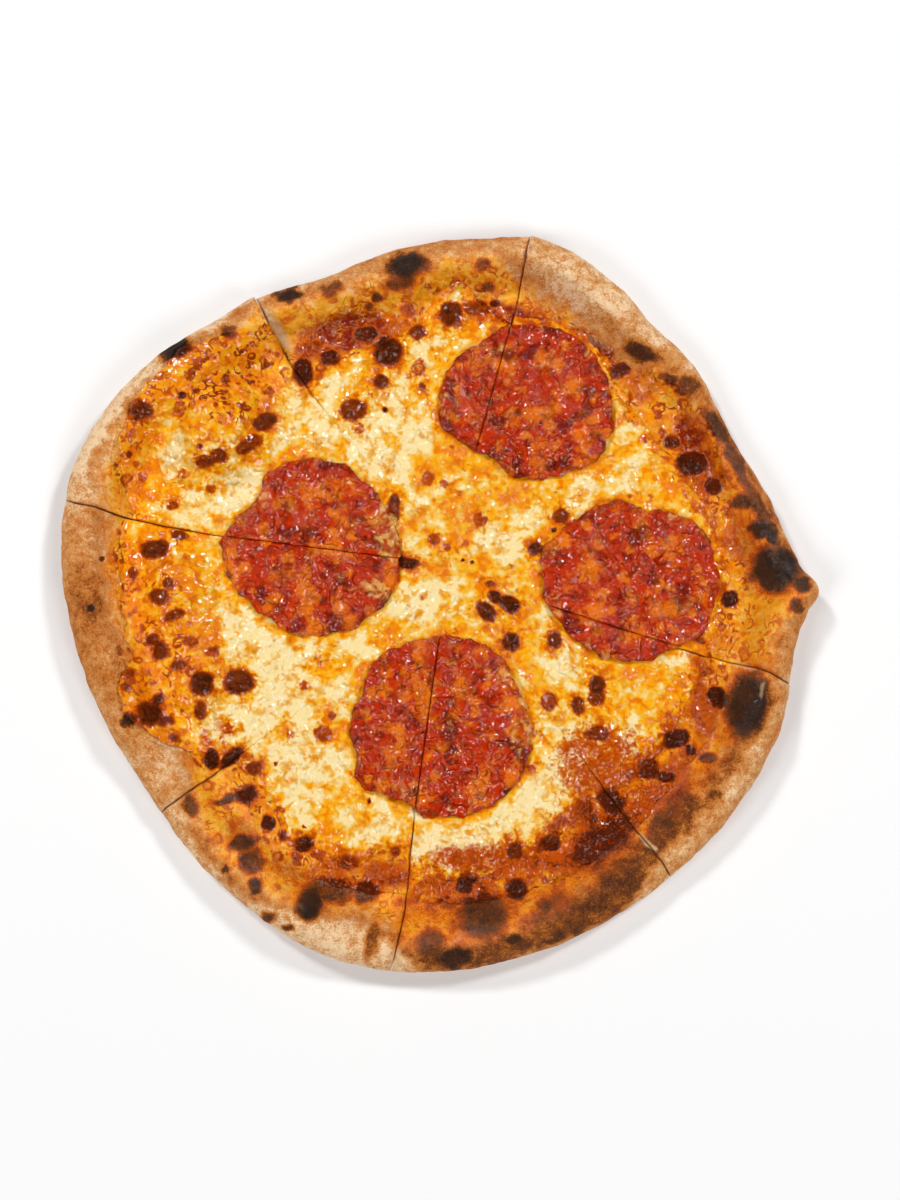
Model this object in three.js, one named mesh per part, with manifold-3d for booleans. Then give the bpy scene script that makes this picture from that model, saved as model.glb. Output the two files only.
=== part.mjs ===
// A whole diavola pizza, cut into seven slices that still lie together as one round.
// Every slice carries its own layers: baked dough, tomato sauce, melted cheese, and the pieces
// of spicy salami that lie on it. The knife went through four big salami slices.
//
// Millimetres, +Z up. The pizza rests on z = 0 and the origin is under its middle.
// A direction is an angle in degrees, counted anticlockwise from +X, and a distance is taken
// level, both from the point where all the cuts meet.

import * as THREE from 'three';
import { mergeVertices } from 'three/addons/utils/BufferGeometryUtils.js';
import Module from 'manifold-3d';

const wasm = await Module();
wasm.setup();

// --- Driving dimensions ---

const CUT_CENTRE = [5.6, 11.1]; // where the cuts meet, away from the middle of the pizza
const CUT_GAP = 0.5; // width that the knife leaves between two slices
const LAYER_GAP = 0.3; // clearance between one layer and the next

const DOUGH = 3.4; // dough under the toppings
const SAUCE = 0.9;
const CHEESE = 2.0;
const SALAMI = 1.8;
const SALAMI_FOLD = 0.35; // how far the folds that run out to its edge rise and sink
const SALAMI_WAVE = 0.25; // the same for the rings round its middle

const EDGE_SHARE = 0.5; // height of the outermost point of the rim, as a share of the rim's top
const UNDERCUT = 9; // how far in the rounded underside of the rim reaches
const RIDGE_SHARE = 0.42; // where the rim is highest, as a share of its width

const SAUCE_LIP = 0.3; // thickness of the sauce at its very edge
const CHEESE_LIP = 0.4;
const LIP_WIDTH = 1.5; // sauce that shows past the cheese at the least

// Distance from the meeting point of the cuts to the outer edge, by direction.
const OUTLINE = [
  [0, 148], [10, 141], [25, 134], [40, 138], [50, 138], [60, 144], [75, 150], [83, 146],
  [92, 143.5], [103, 140.5], [114, 138.5], [124, 144.5], [135, 148], [145, 156], [154, 161.5],
  [166, 166.5], [180, 164.5], [190, 161.5], [213, 157.5], [222, 159], [230, 161.5], [240, 164.5],
  [250, 168.5], [262, 169], [285, 163], [306, 158], [320, 156], [335, 153.5], [345, 149.5],
  [352, 152], [356, 156],
];

// Direction of each knife cut, by distance: no cut is quite straight.
const CUTS = {
  top: [[0, 77], [72, 78], [110, 76], [148, 76.3]],
  upperLeft: [[0, 127.5], [60, 128], [101, 128.4], [144, 125.8]],
  left: [[0, 172], [94, 172.5], [168, 170.5]],
  lowerLeft: [[0, 224.5], [71, 225], [120, 222.2], [157, 221]],
  bottom: [[0, 261.7], [104, 262], [143, 262.6], [171, 261.8]],
  lowerRight: [[0, 301], [40, 301.6], [90, 303.8], [151, 305]],
  right: [[0, 338], [64, 337], [100, 339.6], [130, 341], [152, 340.3]],
};

// Each slice lies anticlockwise of its first cut. Its curves are read by direction:
//   rimHeight, rimWidth    the raised crust
//   cheeseEdge, sauceEdge  distances at which those layers end
//   bubbles                domes in the dough: direction, distance, half sizes across and
//                          along the slice, height
//   blisters               browned domes of cheese: direction, distance, radius
const SLICES = [
  {
    cuts: ['top', 'upperLeft'],
    rimHeight: [[76, 17], [95, 18], [110, 16], [125, 13]],
    rimWidth: [[76, 26], [95, 28], [110, 24], [125, 22]],
    cheeseEdge: [
      [77, 110], [84, 119.6], [89, 124.4], [94, 115.5], [101, 104.7], [120, 105.5], [128.5, 97],
    ],
    sauceEdge: [[77, 119], [84, 123.4], [92, 126], [101, 115], [109, 122.4], [125.6, 120]],
    bubbles: [[98.2, 131, 9, 8, 3.5], [113.2, 131, 7, 6, 2]],
    blisters: [[89.8, 107, 4.2], [97.9, 103, 3], [121.9, 80.5, 4.2], [105.9, 97.5, 6]],
  },
  {
    cuts: ['upperLeft', 'left'],
    rimHeight: [[127, 19], [140, 21], [158, 19], [170, 17]],
    rimWidth: [[127, 30], [170, 30]],
    cheeseEdge: [[128.6, 127], [140, 143], [150, 148], [157, 149], [164, 145], [170, 137.5]],
    sauceEdge: [[128.6, 130], [140, 146], [150, 151], [157, 152], [164, 148], [170, 141]],
    bubbles: [[148.7, 117, 34, 33, 16]],
    blisters: [[142.4, 101.7, 3.4], [156.3, 113.6, 3.4], [167.2, 122, 3.4], [162, 108, 3]],
  },
  {
    cuts: ['left', 'lowerLeft'],
    rimHeight: [[172, 17], [190, 18], [205, 17], [215, 14]],
    rimWidth: [[172, 28], [215, 28]],
    cheeseEdge: [
      [176, 141], [195, 139], [201, 146], [208, 145], [216, 133.6], [222, 125.7],
    ],
    sauceEdge: [[176, 143], [195, 141], [201, 148], [208, 147], [216, 136.5], [222, 132]],
    bubbles: [[187.9, 116, 34, 20, 8], [206.3, 121, 22, 18, 6], [206.6, 144, 8, 6, 2]],
    blisters: [
      [178, 125, 5.5], [194.9, 129, 3.4], [200.6, 122, 3.4], [209.2, 101.3, 4.7],
      [210.5, 121.9, 3.4],
    ],
  },
  {
    cuts: ['lowerLeft', 'bottom'],
    rimHeight: [[222, 13], [240, 17], [250, 18], [261, 15]],
    rimWidth: [[222, 27], [261, 27]],
    cheeseEdge: [
      [223, 122], [230, 123.2], [238, 132], [246, 131], [252, 131], [256, 124], [261, 120],
    ],
    sauceEdge: [[223, 129], [230, 133.7], [237, 142], [253, 141.7], [261, 139.2]],
    bubbles: [[248.1, 151, 8, 7, 2.5]],
    blisters: [[233.4, 89.2, 3.8], [241, 121, 3.4], [229, 83, 2.5]],
  },
  {
    cuts: ['bottom', 'lowerRight'],
    rimHeight: [[263, 15], [280, 18], [295, 16], [304, 14]],
    rimWidth: [[263, 28], [304, 28]],
    cheeseEdge: [[264, 129], [271, 131.7], [285, 126], [292, 122.3], [300, 115], [304, 115]],
    sauceEdge: [[262, 141], [278, 141.2], [289, 139], [304, 134.4]],
    bubbles: [[274.8, 145.4, 9, 9, 4]],
    blisters: [[287.5, 117.5, 3.4], [282.7, 121, 2.6], [298, 108, 3]],
  },
  {
    cuts: ['lowerRight', 'right'],
    rimHeight: [[305, 14], [320, 16], [333, 18], [340, 15]],
    rimWidth: [[305, 27], [340, 27]],
    cheeseEdge: [[306, 117], [322, 117], [330, 116.3], [338, 114]],
    sauceEdge: [[306, 134.7], [317, 130.6], [328, 131.3], [335, 127.4], [340, 125]],
    bubbles: [[333.9, 136, 10, 8, 4]],
    blisters: [[324, 30.4, 3], [319.8, 81, 3.8], [311.5, 70, 2.6], [322.1, 109, 5], [312, 110, 4]],
  },
  {
    cuts: ['right', 'top'],
    rimHeight: [[341, 16], [355, 19], [370, 14], [390, 13], [405, 15], [420, 18], [435, 20]],
    rimWidth: [[341, 24], [355, 26], [370, 20], [390, 18], [405, 22], [420, 27], [435, 27]],
    cheeseEdge: [
      [344, 117], [353, 118.2], [372, 115.5], [380, 110.4], [392, 105], [405, 107.5],
      [416, 116.4], [426, 118.5], [433.5, 116],
    ],
    sauceEdge: [
      [343, 126], [353, 127.5], [373, 123.6], [388, 127], [395, 127], [405, 122.6], [414, 120],
      [427, 122.5], [435, 122.3],
    ],
    bubbles: [[357.2, 135.3, 7, 7, 5]],
    blisters: [[384.3, 52.2, 3], [369.9, 33, 2.5], [382, 102, 5.5], [389.5, 98, 3.6]],
  },
];

// The big salami slices: where the middle lies, and the radius at equal steps of direction.
const SALAMI_ROUNDS = [
  {
    name: 'a',
    direction: 65.4,
    distance: 79.6,
    radii: [37, 36, 36.6, 36.2, 34.5, 35.4, 33.5, 35.2, 36.9, 37.7, 37.8, 32, 30, 33.6, 35.2,
      36.3, 40, 39.5],
  },
  {
    name: 'b',
    direction: 172.3,
    distance: 59.7,
    radii: [38, 36.9, 36.2, 36.8, 38.3, 38.8, 37.7, 31.5, 35, 38.4, 37.5, 35.7, 36.1, 38.2,
      38.2, 38.3, 39.9, 39.4],
  },
  {
    name: 'c',
    direction: 356.1,
    distance: 77,
    radii: [37.7, 37.5, 36.9, 32.8, 30.5, 34.5, 33.7, 34.6, 38.7, 37.8, 37.5, 35.6, 36.1, 36.3,
      35.3, 35.1, 37.9, 37.3],
  },
  {
    name: 'd',
    direction: 266.8,
    distance: 68.6,
    radii: [38.1, 36.8, 37.9, 38.5, 37.4, 37.9, 38.6, 38.8, 36.5, 38.1, 37.9, 41, 35.3, 37.3,
      37.8, 38.6, 39, 39],
  },
];

// --- Fineness of the grids ---

const COLUMN_STEP = 6; // degrees
const FLAT_ROWS = [0.2, 0.42, 0.64, 0.82, 0.92, 1]; // shares of the way to the cheese's edge
const RIM_ROWS = 7; // from the sauce's edge to the outermost point
const CHEESE_ROW = FLAT_ROWS.length;
const SAUCE_ROW = CHEESE_ROW + 1;
const FULL_ROW = 1; // a row on which both layers have their full thickness
const SALAMI_RINGS = [0.3, 0.6, 0.84, 0.95, 1];
const SALAMI_SECTORS = 36;
const BLISTER_SIDES = 8;
const HEADROOM = 15; // height of the free space over a layer in which toppings are cut to fit

// --- Materials ---

const MATERIALS = {
  dough: { color: 0xd8a566, roughness: 0.85, metalness: 0 },
  sauce: { color: 0xb83a12, roughness: 0.45, metalness: 0 },
  cheese: { color: 0xf3cd80, roughness: 0.4, metalness: 0 },
  salami: { color: 0xa8341a, roughness: 0.35, metalness: 0 },
};

// --- Curves ---

// A smooth curve through [position, value] points. Past its ends it keeps the end values.
function curve(points) {
  const last = points.length - 1;
  const slopes = points.map((point, i) => {
    const before = points[Math.max(i - 1, 0)];
    const after = points[Math.min(i + 1, last)];
    return (after[1] - before[1]) / (after[0] - before[0]);
  });
  return (position) => {
    if (position <= points[0][0]) return points[0][1];
    if (position >= points[last][0]) return points[last][1];
    const next = points.findIndex((point) => point[0] > position);
    const [start, from] = points[next - 1];
    const [end, to] = points[next];
    const span = end - start;
    const t = (position - start) / span;
    const rise = (1 - t) * slopes[next - 1] - t * slopes[next];
    const chord = (to - from) / span;
    return from + (to - from) * t + t * (1 - t) * span * (rise - (1 - 2 * t) * chord);
  };
}

// The same for a closed ring of directions.
function ring(points) {
  const turned = (turn) => points.map(([direction, value]) => [direction + turn, value]);
  const unrolled = curve([...turned(-360), ...turned(0), ...turned(360)]);
  return (direction) => unrolled(((direction % 360) + 360) % 360);
}

function radians(degrees) {
  return (degrees * Math.PI) / 180;
}

function place(direction, distance) {
  return [distance * Math.cos(radians(direction)), distance * Math.sin(radians(direction))];
}

// --- Closed meshes ---

// A BufferGeometry whose shared corners are one vertex, without triangles of no area.
function weld(geometry) {
  for (const name of Object.keys(geometry.attributes)) {
    if (name !== 'position') geometry.deleteAttribute(name);
  }
  const welded = mergeVertices(geometry);
  const corners = Array.from(welded.index.array);
  const kept = [];
  for (let i = 0; i < corners.length; i += 3) {
    const [a, b, c] = corners.slice(i, i + 3);
    if (a !== b && b !== c && c !== a) kept.push(a, b, c);
  }
  welded.setIndex(kept);
  return welded;
}

// A closed solid on a fan-shaped grid of points {x, y, bottom, top}. The first row is the one
// point in the middle, and the columns run anticlockwise. A round grid joins its last column
// to its first one. An open grid has a wall along each side.
function fanSolid(rows, round) {
  const corners = [];
  const low = (point) => [point.x, point.y, point.bottom];
  const high = (point) => [point.x, point.y, point.top];
  const triangle = (a, b, c) => corners.push(...a, ...b, ...c);
  const quad = (a, b, c, d) => {
    triangle(a, b, c);
    triangle(a, c, d);
  };
  const middle = rows[0][0];
  const outer = rows[rows.length - 1];
  const columns = outer.length;
  const steps = round ? columns : columns - 1;
  for (let j = 0; j < steps; j += 1) {
    const k = (j + 1) % columns;
    triangle(high(middle), high(rows[1][j]), high(rows[1][k]));
    triangle(low(middle), low(rows[1][k]), low(rows[1][j]));
    for (let i = 1; i < rows.length - 1; i += 1) {
      const [a, b, c, d] = [rows[i][j], rows[i + 1][j], rows[i + 1][k], rows[i][k]];
      quad(high(a), high(b), high(c), high(d));
      quad(low(a), low(d), low(c), low(b));
    }
    quad(low(outer[j]), low(outer[k]), high(outer[k]), high(outer[j]));
  }
  if (!round) {
    const firstWall = rows.map((row) => row[0]);
    const lastWall = rows.map((row) => row[row.length - 1]);
    for (let i = 0; i < rows.length - 1; i += 1) {
      const [a, b] = [firstWall[i], firstWall[i + 1]];
      quad(low(a), low(b), high(b), high(a));
      const [c, d] = [lastWall[i], lastWall[i + 1]];
      quad(low(c), high(c), high(d), low(d));
    }
  }
  const geometry = new THREE.BufferGeometry();
  geometry.setAttribute('position', new THREE.Float32BufferAttribute(corners, 3));
  return weld(geometry);
}

function toManifold(geometry) {
  const mesh = new wasm.Mesh({
    numProp: 3,
    vertProperties: new Float32Array(geometry.attributes.position.array),
    triVerts: new Uint32Array(geometry.index.array),
  });
  return new wasm.Manifold(mesh);
}

function fromManifold(solid) {
  const mesh = solid.getMesh();
  const geometry = new THREE.BufferGeometry();
  geometry.setAttribute('position', new THREE.BufferAttribute(mesh.vertProperties, 3));
  geometry.setIndex(new THREE.BufferAttribute(mesh.triVerts, 1));
  return geometry;
}

// --- The form of the dough ---

const outlineAt = ring(OUTLINE);

// Height of the rim alone, by the distance in from its outer edge.
function rimProfile(inward, height, width) {
  const ridge = RIDGE_SHARE * width;
  const edge = EDGE_SHARE * height;
  if (inward >= width) return DOUGH;
  if (inward < ridge) {
    const fall = 1 - inward / ridge;
    return edge + (height - edge) * Math.sqrt(1 - fall * fall);
  }
  const fall = (inward - ridge) / (width - ridge);
  return DOUGH + (height - DOUGH) * (0.5 + 0.5 * Math.cos(Math.PI * fall));
}

// The rounded underside of the rim meets its upper side at the outermost point.
function underside(inward, height) {
  if (inward >= UNDERCUT) return 0;
  const fall = 1 - inward / UNDERCUT;
  return EDGE_SHARE * height * (1 - Math.sqrt(1 - fall * fall));
}

// Domes in the dough, which fade out towards the outer edge.
function bubbleHeight(bubbles, direction, distance, inward) {
  let height = 0;
  for (const [heading, middle, across, along, rise] of bubbles) {
    const aside = radians(direction - heading) * middle;
    const reach = (aside / across) ** 2 + ((distance - middle) / along) ** 2;
    if (reach < 1) height += rise * (1 - reach) ** 2;
  }
  return height * Math.min(1, inward / UNDERCUT);
}

// --- One slice ---

function prepareSlice(description) {
  const [first, last] = description.cuts.map((name) => curve(CUTS[name]));
  const turn = last(0) < first(0) ? 360 : 0;
  const direction = (share, distance) => {
    const start = first(distance);
    return start + (last(distance) + turn - start) * share;
  };
  return {
    direction,
    rimHeight: curve(description.rimHeight),
    rimWidth: curve(description.rimWidth),
    cheeseEdge: curve(description.cheeseEdge),
    sauceEdge: curve(description.sauceEdge),
    bubbles: description.bubbles,
    blisters: description.blisters,
  };
}

// Distances of the grid's rows on the column that leaves in this direction.
function rowDistances(slice, heading) {
  const cheese = slice.cheeseEdge(heading);
  const sauce = Math.max(slice.sauceEdge(heading), cheese + LIP_WIDTH);
  const edge = outlineAt(heading);
  const rim = Array.from({ length: RIM_ROWS }, (_, i) => {
    const share = (i + 1) / RIM_ROWS;
    return sauce + (edge - sauce) * Math.sin((share * Math.PI) / 2);
  });
  return [0, ...FLAT_ROWS.map((share) => share * cheese), sauce, ...rim];
}

// The slice's grid: every point knows where the dough ends below and above.
function sliceGrid(slice) {
  const columns = Math.round((slice.direction(1, 0) - slice.direction(0, 0)) / COLUMN_STEP);
  const rows = Array.from({ length: SAUCE_ROW + RIM_ROWS + 1 }, () => []);
  for (let j = 0; j <= columns; j += 1) {
    const share = j / columns;
    const heading = slice.direction(share, outlineAt(slice.direction(share, 0)));
    const edge = outlineAt(heading);
    const height = slice.rimHeight(heading);
    rowDistances(slice, heading).forEach((distance, i) => {
      const direction = slice.direction(share, distance);
      const inward = Math.max(edge - distance, 0);
      const [x, y] = place(direction, distance);
      const rise = bubbleHeight(slice.bubbles, direction, distance, inward);
      const dough = rimProfile(inward, height, slice.rimWidth(heading)) + rise;
      rows[i].push({ x, y, bottom: underside(inward, height), top: dough });
    });
  }
  return rows;
}

// Height of each layer's two skins over the dough, row by row.
function sauceSkins(dough, row) {
  const bottom = dough + LAYER_GAP;
  return { bottom, top: bottom + (row === SAUCE_ROW ? SAUCE_LIP : SAUCE) };
}

function cheeseSkins(dough, row) {
  const bottom = sauceSkins(dough, row).top + LAYER_GAP;
  return { bottom, top: bottom + (row === CHEESE_ROW ? CHEESE_LIP : CHEESE) };
}

function layer(grid, lastRow, skins) {
  const rows = grid.slice(0, lastRow + 1);
  return rows.map((points, row) => points.map((point) => ({ ...point, ...skins(point.top, row) })));
}

// A low browned dome, rooted in the cheese below it.
function blister(radius) {
  const profile = [[0, -CHEESE], [radius, -CHEESE], [radius, 0], [0.78 * radius, 0.34 * radius],
    [0.4 * radius, 0.5 * radius], [0, 0.54 * radius]];
  const points = profile.map(([x, y]) => new THREE.Vector2(x, y));
  const dome = new THREE.LatheGeometry(points, BLISTER_SIDES);
  dome.rotateX(Math.PI / 2);
  return weld(dome);
}

// Level of the cheese at a point of the slice, or past its side if the slice went on there.
function cheeseLevel(slice, x, y) {
  const distance = Math.hypot(x, y);
  const turned = (Math.atan2(y, x) * 180) / Math.PI;
  const middle = slice.direction(0.5, distance);
  const direction = turned + 360 * Math.round((middle - turned) / 360);
  const inward = Math.max(outlineAt(direction) - distance, 0);
  const rise = bubbleHeight(slice.bubbles, direction, distance, inward);
  const rim = rimProfile(inward, slice.rimHeight(direction), slice.rimWidth(direction));
  return cheeseSkins(rim + rise, FULL_ROW).top;
}

// The cheese with its blisters, which stay clear of the sauce below.
function cheeseWithBlisters(slice, grid) {
  const rows = layer(grid, CHEESE_ROW, cheeseSkins);
  const room = rows.map((points) => points.map((point) => ({ ...point, top: point.top + HEADROOM })));
  const clearSpace = toManifold(fanSolid(room, false));
  let solid = toManifold(fanSolid(rows, false));
  for (const [direction, distance, radius] of slice.blisters) {
    const dome = blister(radius);
    const [x, y] = place(direction, distance);
    dome.translate(x, y, cheeseLevel(slice, x, y));
    solid = solid.add(toManifold(dome).intersect(clearSpace));
  }
  return weld(fromManifold(solid));
}

// --- Salami ---

// Uneven thickness of a salami slice that curled a little in the oven. Its edge is rounded off.
function salamiTop(angle, share, seed) {
  const folds = Math.sin(3 * angle + seed) + 0.7 * Math.sin(5 * angle - 2 * seed);
  const waves = SALAMI_FOLD * folds * share + SALAMI_WAVE * Math.sin(9 * share + seed);
  return SALAMI + waves - (share === 1 ? SALAMI / 2 : 0);
}

// The whole salami slice as it lies on the cheese of one slice of pizza. It starts inside the
// cheese and ends at its own upper face.
function salamiRound(round, number, slice) {
  const step = 360 / round.radii.length;
  const radiusAt = ring(round.radii.map((radius, i) => [i * step, radius]));
  const [x0, y0] = place(round.direction, round.distance);
  const point = (angle, share) => {
    const [dx, dy] = place(angle, radiusAt(angle) * share);
    const [x, y] = [x0 + dx, y0 + dy];
    const base = cheeseLevel(slice, x, y) + LAYER_GAP;
    const top = base + salamiTop(radians(angle), share, 1 + 2 * number);
    return { x, y, bottom: base - CHEESE, top };
  };
  const rings = SALAMI_RINGS.map((share) => Array.from(
    { length: SALAMI_SECTORS },
    (_, j) => point((j * 360) / SALAMI_SECTORS, share),
  ));
  return toManifold(fanSolid([[point(0, 0)], ...rings], true));
}

// All the space over one slice, a gap above whatever its top layer is.
function spaceOver(grid) {
  const rows = grid.map((points, row) => points.map((point) => {
    let level = point.top;
    if (row <= SAUCE_ROW) level = sauceSkins(point.top, row).top;
    if (row <= CHEESE_ROW) level = cheeseSkins(point.top, FULL_ROW).top;
    return { ...point, bottom: level + LAYER_GAP, top: level + HEADROOM };
  }));
  return toManifold(fanSolid(rows, false));
}

// --- The pizza ---

function namedMesh(name, geometry, material) {
  const mesh = new THREE.Mesh(geometry, new THREE.MeshStandardMaterial(MATERIALS[material]));
  mesh.name = name;
  return mesh;
}

function buildSlice(description, number) {
  const slice = prepareSlice(description);
  const grid = sliceGrid(slice);
  const group = new THREE.Group();
  const label = `slice_${number}`;
  group.add(namedMesh(`${label}_dough`, fanSolid(grid, false), 'dough'));
  const sauce = fanSolid(layer(grid, SAUCE_ROW, sauceSkins), false);
  group.add(namedMesh(`${label}_sauce`, sauce, 'sauce'));
  group.add(namedMesh(`${label}_cheese`, cheeseWithBlisters(slice, grid), 'cheese'));
  const space = spaceOver(grid);
  SALAMI_ROUNDS.forEach((round, i) => {
    const piece = salamiRound(round, i, slice).intersect(space);
    if (piece.isEmpty()) return;
    group.add(namedMesh(`${label}_salami_${round.name}`, weld(fromManifold(piece)), 'salami'));
  });
  // The slice moves out along its own middle line by half a knife cut from either side.
  const halfAngle = radians(slice.direction(1, 0) - slice.direction(0, 0)) / 2;
  const [x, y] = place(slice.direction(0.5, 0), CUT_GAP / 2 / Math.sin(halfAngle));
  group.position.set(CUT_CENTRE[0] + x, CUT_CENTRE[1] + y, 0);
  return group;
}

function buildPizza() {
  const pizza = new THREE.Group();
  SLICES.forEach((description, i) => pizza.add(buildSlice(description, i + 1)));
  return pizza;
}

export default buildPizza();
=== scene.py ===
"""A diavola pizza, cut into seven slices that still lie together as one round.

Every slice has a crust, tomato sauce and melted cheese of its own, and the knife went through
the four big slices of spicy salami. Lengths inside the script are millimetres, and the meshes
are made in metres. A direction is an angle in degrees, anticlockwise from +X, and a distance is
taken level, both from the point where all the cuts meet.
"""

import math

import bmesh
import bpy
import numpy as np
from bpy.props import FloatProperty, FloatVectorProperty, IntProperty, PointerProperty
from bpy.types import Operator, Panel, PropertyGroup
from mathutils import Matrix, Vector


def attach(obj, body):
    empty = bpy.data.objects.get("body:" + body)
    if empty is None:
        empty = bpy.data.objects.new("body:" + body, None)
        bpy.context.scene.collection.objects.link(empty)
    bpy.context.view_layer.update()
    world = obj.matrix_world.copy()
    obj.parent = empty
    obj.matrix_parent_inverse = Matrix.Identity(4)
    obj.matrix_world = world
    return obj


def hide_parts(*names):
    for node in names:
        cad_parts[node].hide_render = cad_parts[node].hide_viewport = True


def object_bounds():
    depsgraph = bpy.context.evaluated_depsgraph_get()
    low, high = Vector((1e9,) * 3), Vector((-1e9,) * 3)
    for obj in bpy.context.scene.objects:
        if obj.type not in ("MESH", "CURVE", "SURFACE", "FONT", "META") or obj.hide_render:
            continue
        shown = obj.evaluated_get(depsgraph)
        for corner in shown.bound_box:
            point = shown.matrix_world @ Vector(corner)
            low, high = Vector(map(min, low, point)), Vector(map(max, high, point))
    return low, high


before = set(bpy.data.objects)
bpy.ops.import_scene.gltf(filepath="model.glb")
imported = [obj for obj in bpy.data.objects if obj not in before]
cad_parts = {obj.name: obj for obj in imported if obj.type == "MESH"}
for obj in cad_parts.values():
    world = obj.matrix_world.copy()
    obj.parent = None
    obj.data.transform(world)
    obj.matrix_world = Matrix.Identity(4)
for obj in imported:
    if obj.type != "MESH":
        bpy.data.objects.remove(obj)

CAD_BOX = [list(corner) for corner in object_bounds()]

bl_info = {
    "name": "Diavola Pizza",
    "version": (1, 0, 0),
    "blender": (4, 5, 0),
    "location": "View3D > Sidebar > Pizza",
    "description": "Builds a cut diavola pizza: crust, tomato sauce, cheese and spicy salami",
    "category": "Add Mesh",
}

MM = 0.001
LIFT = 0.05  # between the top of a layer and the bottom of the next, in millimetres

# --- Form of the pizza, as in its solids ---

CUT_CENTRE = (5.6, 11.1)

# Distance of the outer edge, by direction.
OUTLINE = [
    (0, 148), (10, 141), (25, 134), (40, 138), (50, 138), (60, 144), (75, 150), (83, 146),
    (92, 143.5), (103, 140.5), (114, 138.5), (124, 144.5), (135, 148), (145, 156), (154, 161.5),
    (166, 166.5), (180, 164.5), (190, 161.5), (213, 157.5), (222, 159), (230, 161.5),
    (240, 164.5), (250, 168.5), (262, 169), (285, 163), (306, 158), (320, 156), (335, 153.5),
    (345, 149.5), (352, 152), (356, 156),
]

# Direction of each knife cut, by distance.
CUTS = {
    "top": [(0, 77), (72, 78), (110, 76), (148, 76.3)],
    "upper_left": [(0, 127.5), (60, 128), (101, 128.4), (144, 125.8)],
    "left": [(0, 172), (94, 172.5), (168, 170.5)],
    "lower_left": [(0, 224.5), (71, 225), (120, 222.2), (157, 221)],
    "bottom": [(0, 261.7), (104, 262), (143, 262.6), (171, 261.8)],
    "lower_right": [(0, 301), (40, 301.6), (90, 303.8), (151, 305)],
    "right": [(0, 338), (64, 337), (100, 339.6), (130, 341), (152, 340.3)],
}

# Width of the gap that each cut leaves, by distance. Melted cheese closed it near the middle.
CRUST_GAPS = {
    "top": [(0, 0.2), (100, 0.2), (125, 0.25), (148, 0.5)],
    "upper_left": [(0, 0.2), (95, 0.2), (120, 0.4), (144, 0.8)],
    "left": [(0, 0.2), (100, 0.3), (168, 0.7)],
    "lower_left": [(0, 0.2), (110, 0.2), (157, 0.3)],
    "bottom": [(0, 0.2), (110, 0.2), (170, 0.5)],
    "lower_right": [(0, 0.2), (110, 0.2), (151, 0.5)],
    "right": [(0, 0.2), (95, 0.2), (152, 0.5)],
}
CHEESE_GAPS = {
    "top": [(0, 0.02), (60, 0.02), (100, 0.3), (148, 0.8)],
    "upper_left": [(0, 0.02), (84, 0.02), (100, 0.5), (144, 1.4)],
    "left": [(0, 0.02), (84, 0.02), (100, 0.5), (168, 0.9)],
    "lower_left": [(0, 0.02), (112, 0.02), (122, 0.25), (157, 0.4)],
    "bottom": [(0, 0.02), (100, 0.02), (112, 0.5), (170, 0.9)],
    "lower_right": [(0, 0.02), (88, 0.02), (110, 0.3), (151, 0.6)],
    "right": [(0, 0.02), (70, 0.02), (95, 0.4), (152, 0.7)],
}
SALAMI_GAP = 0.45
SALAMI_RADIUS = 37

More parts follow.
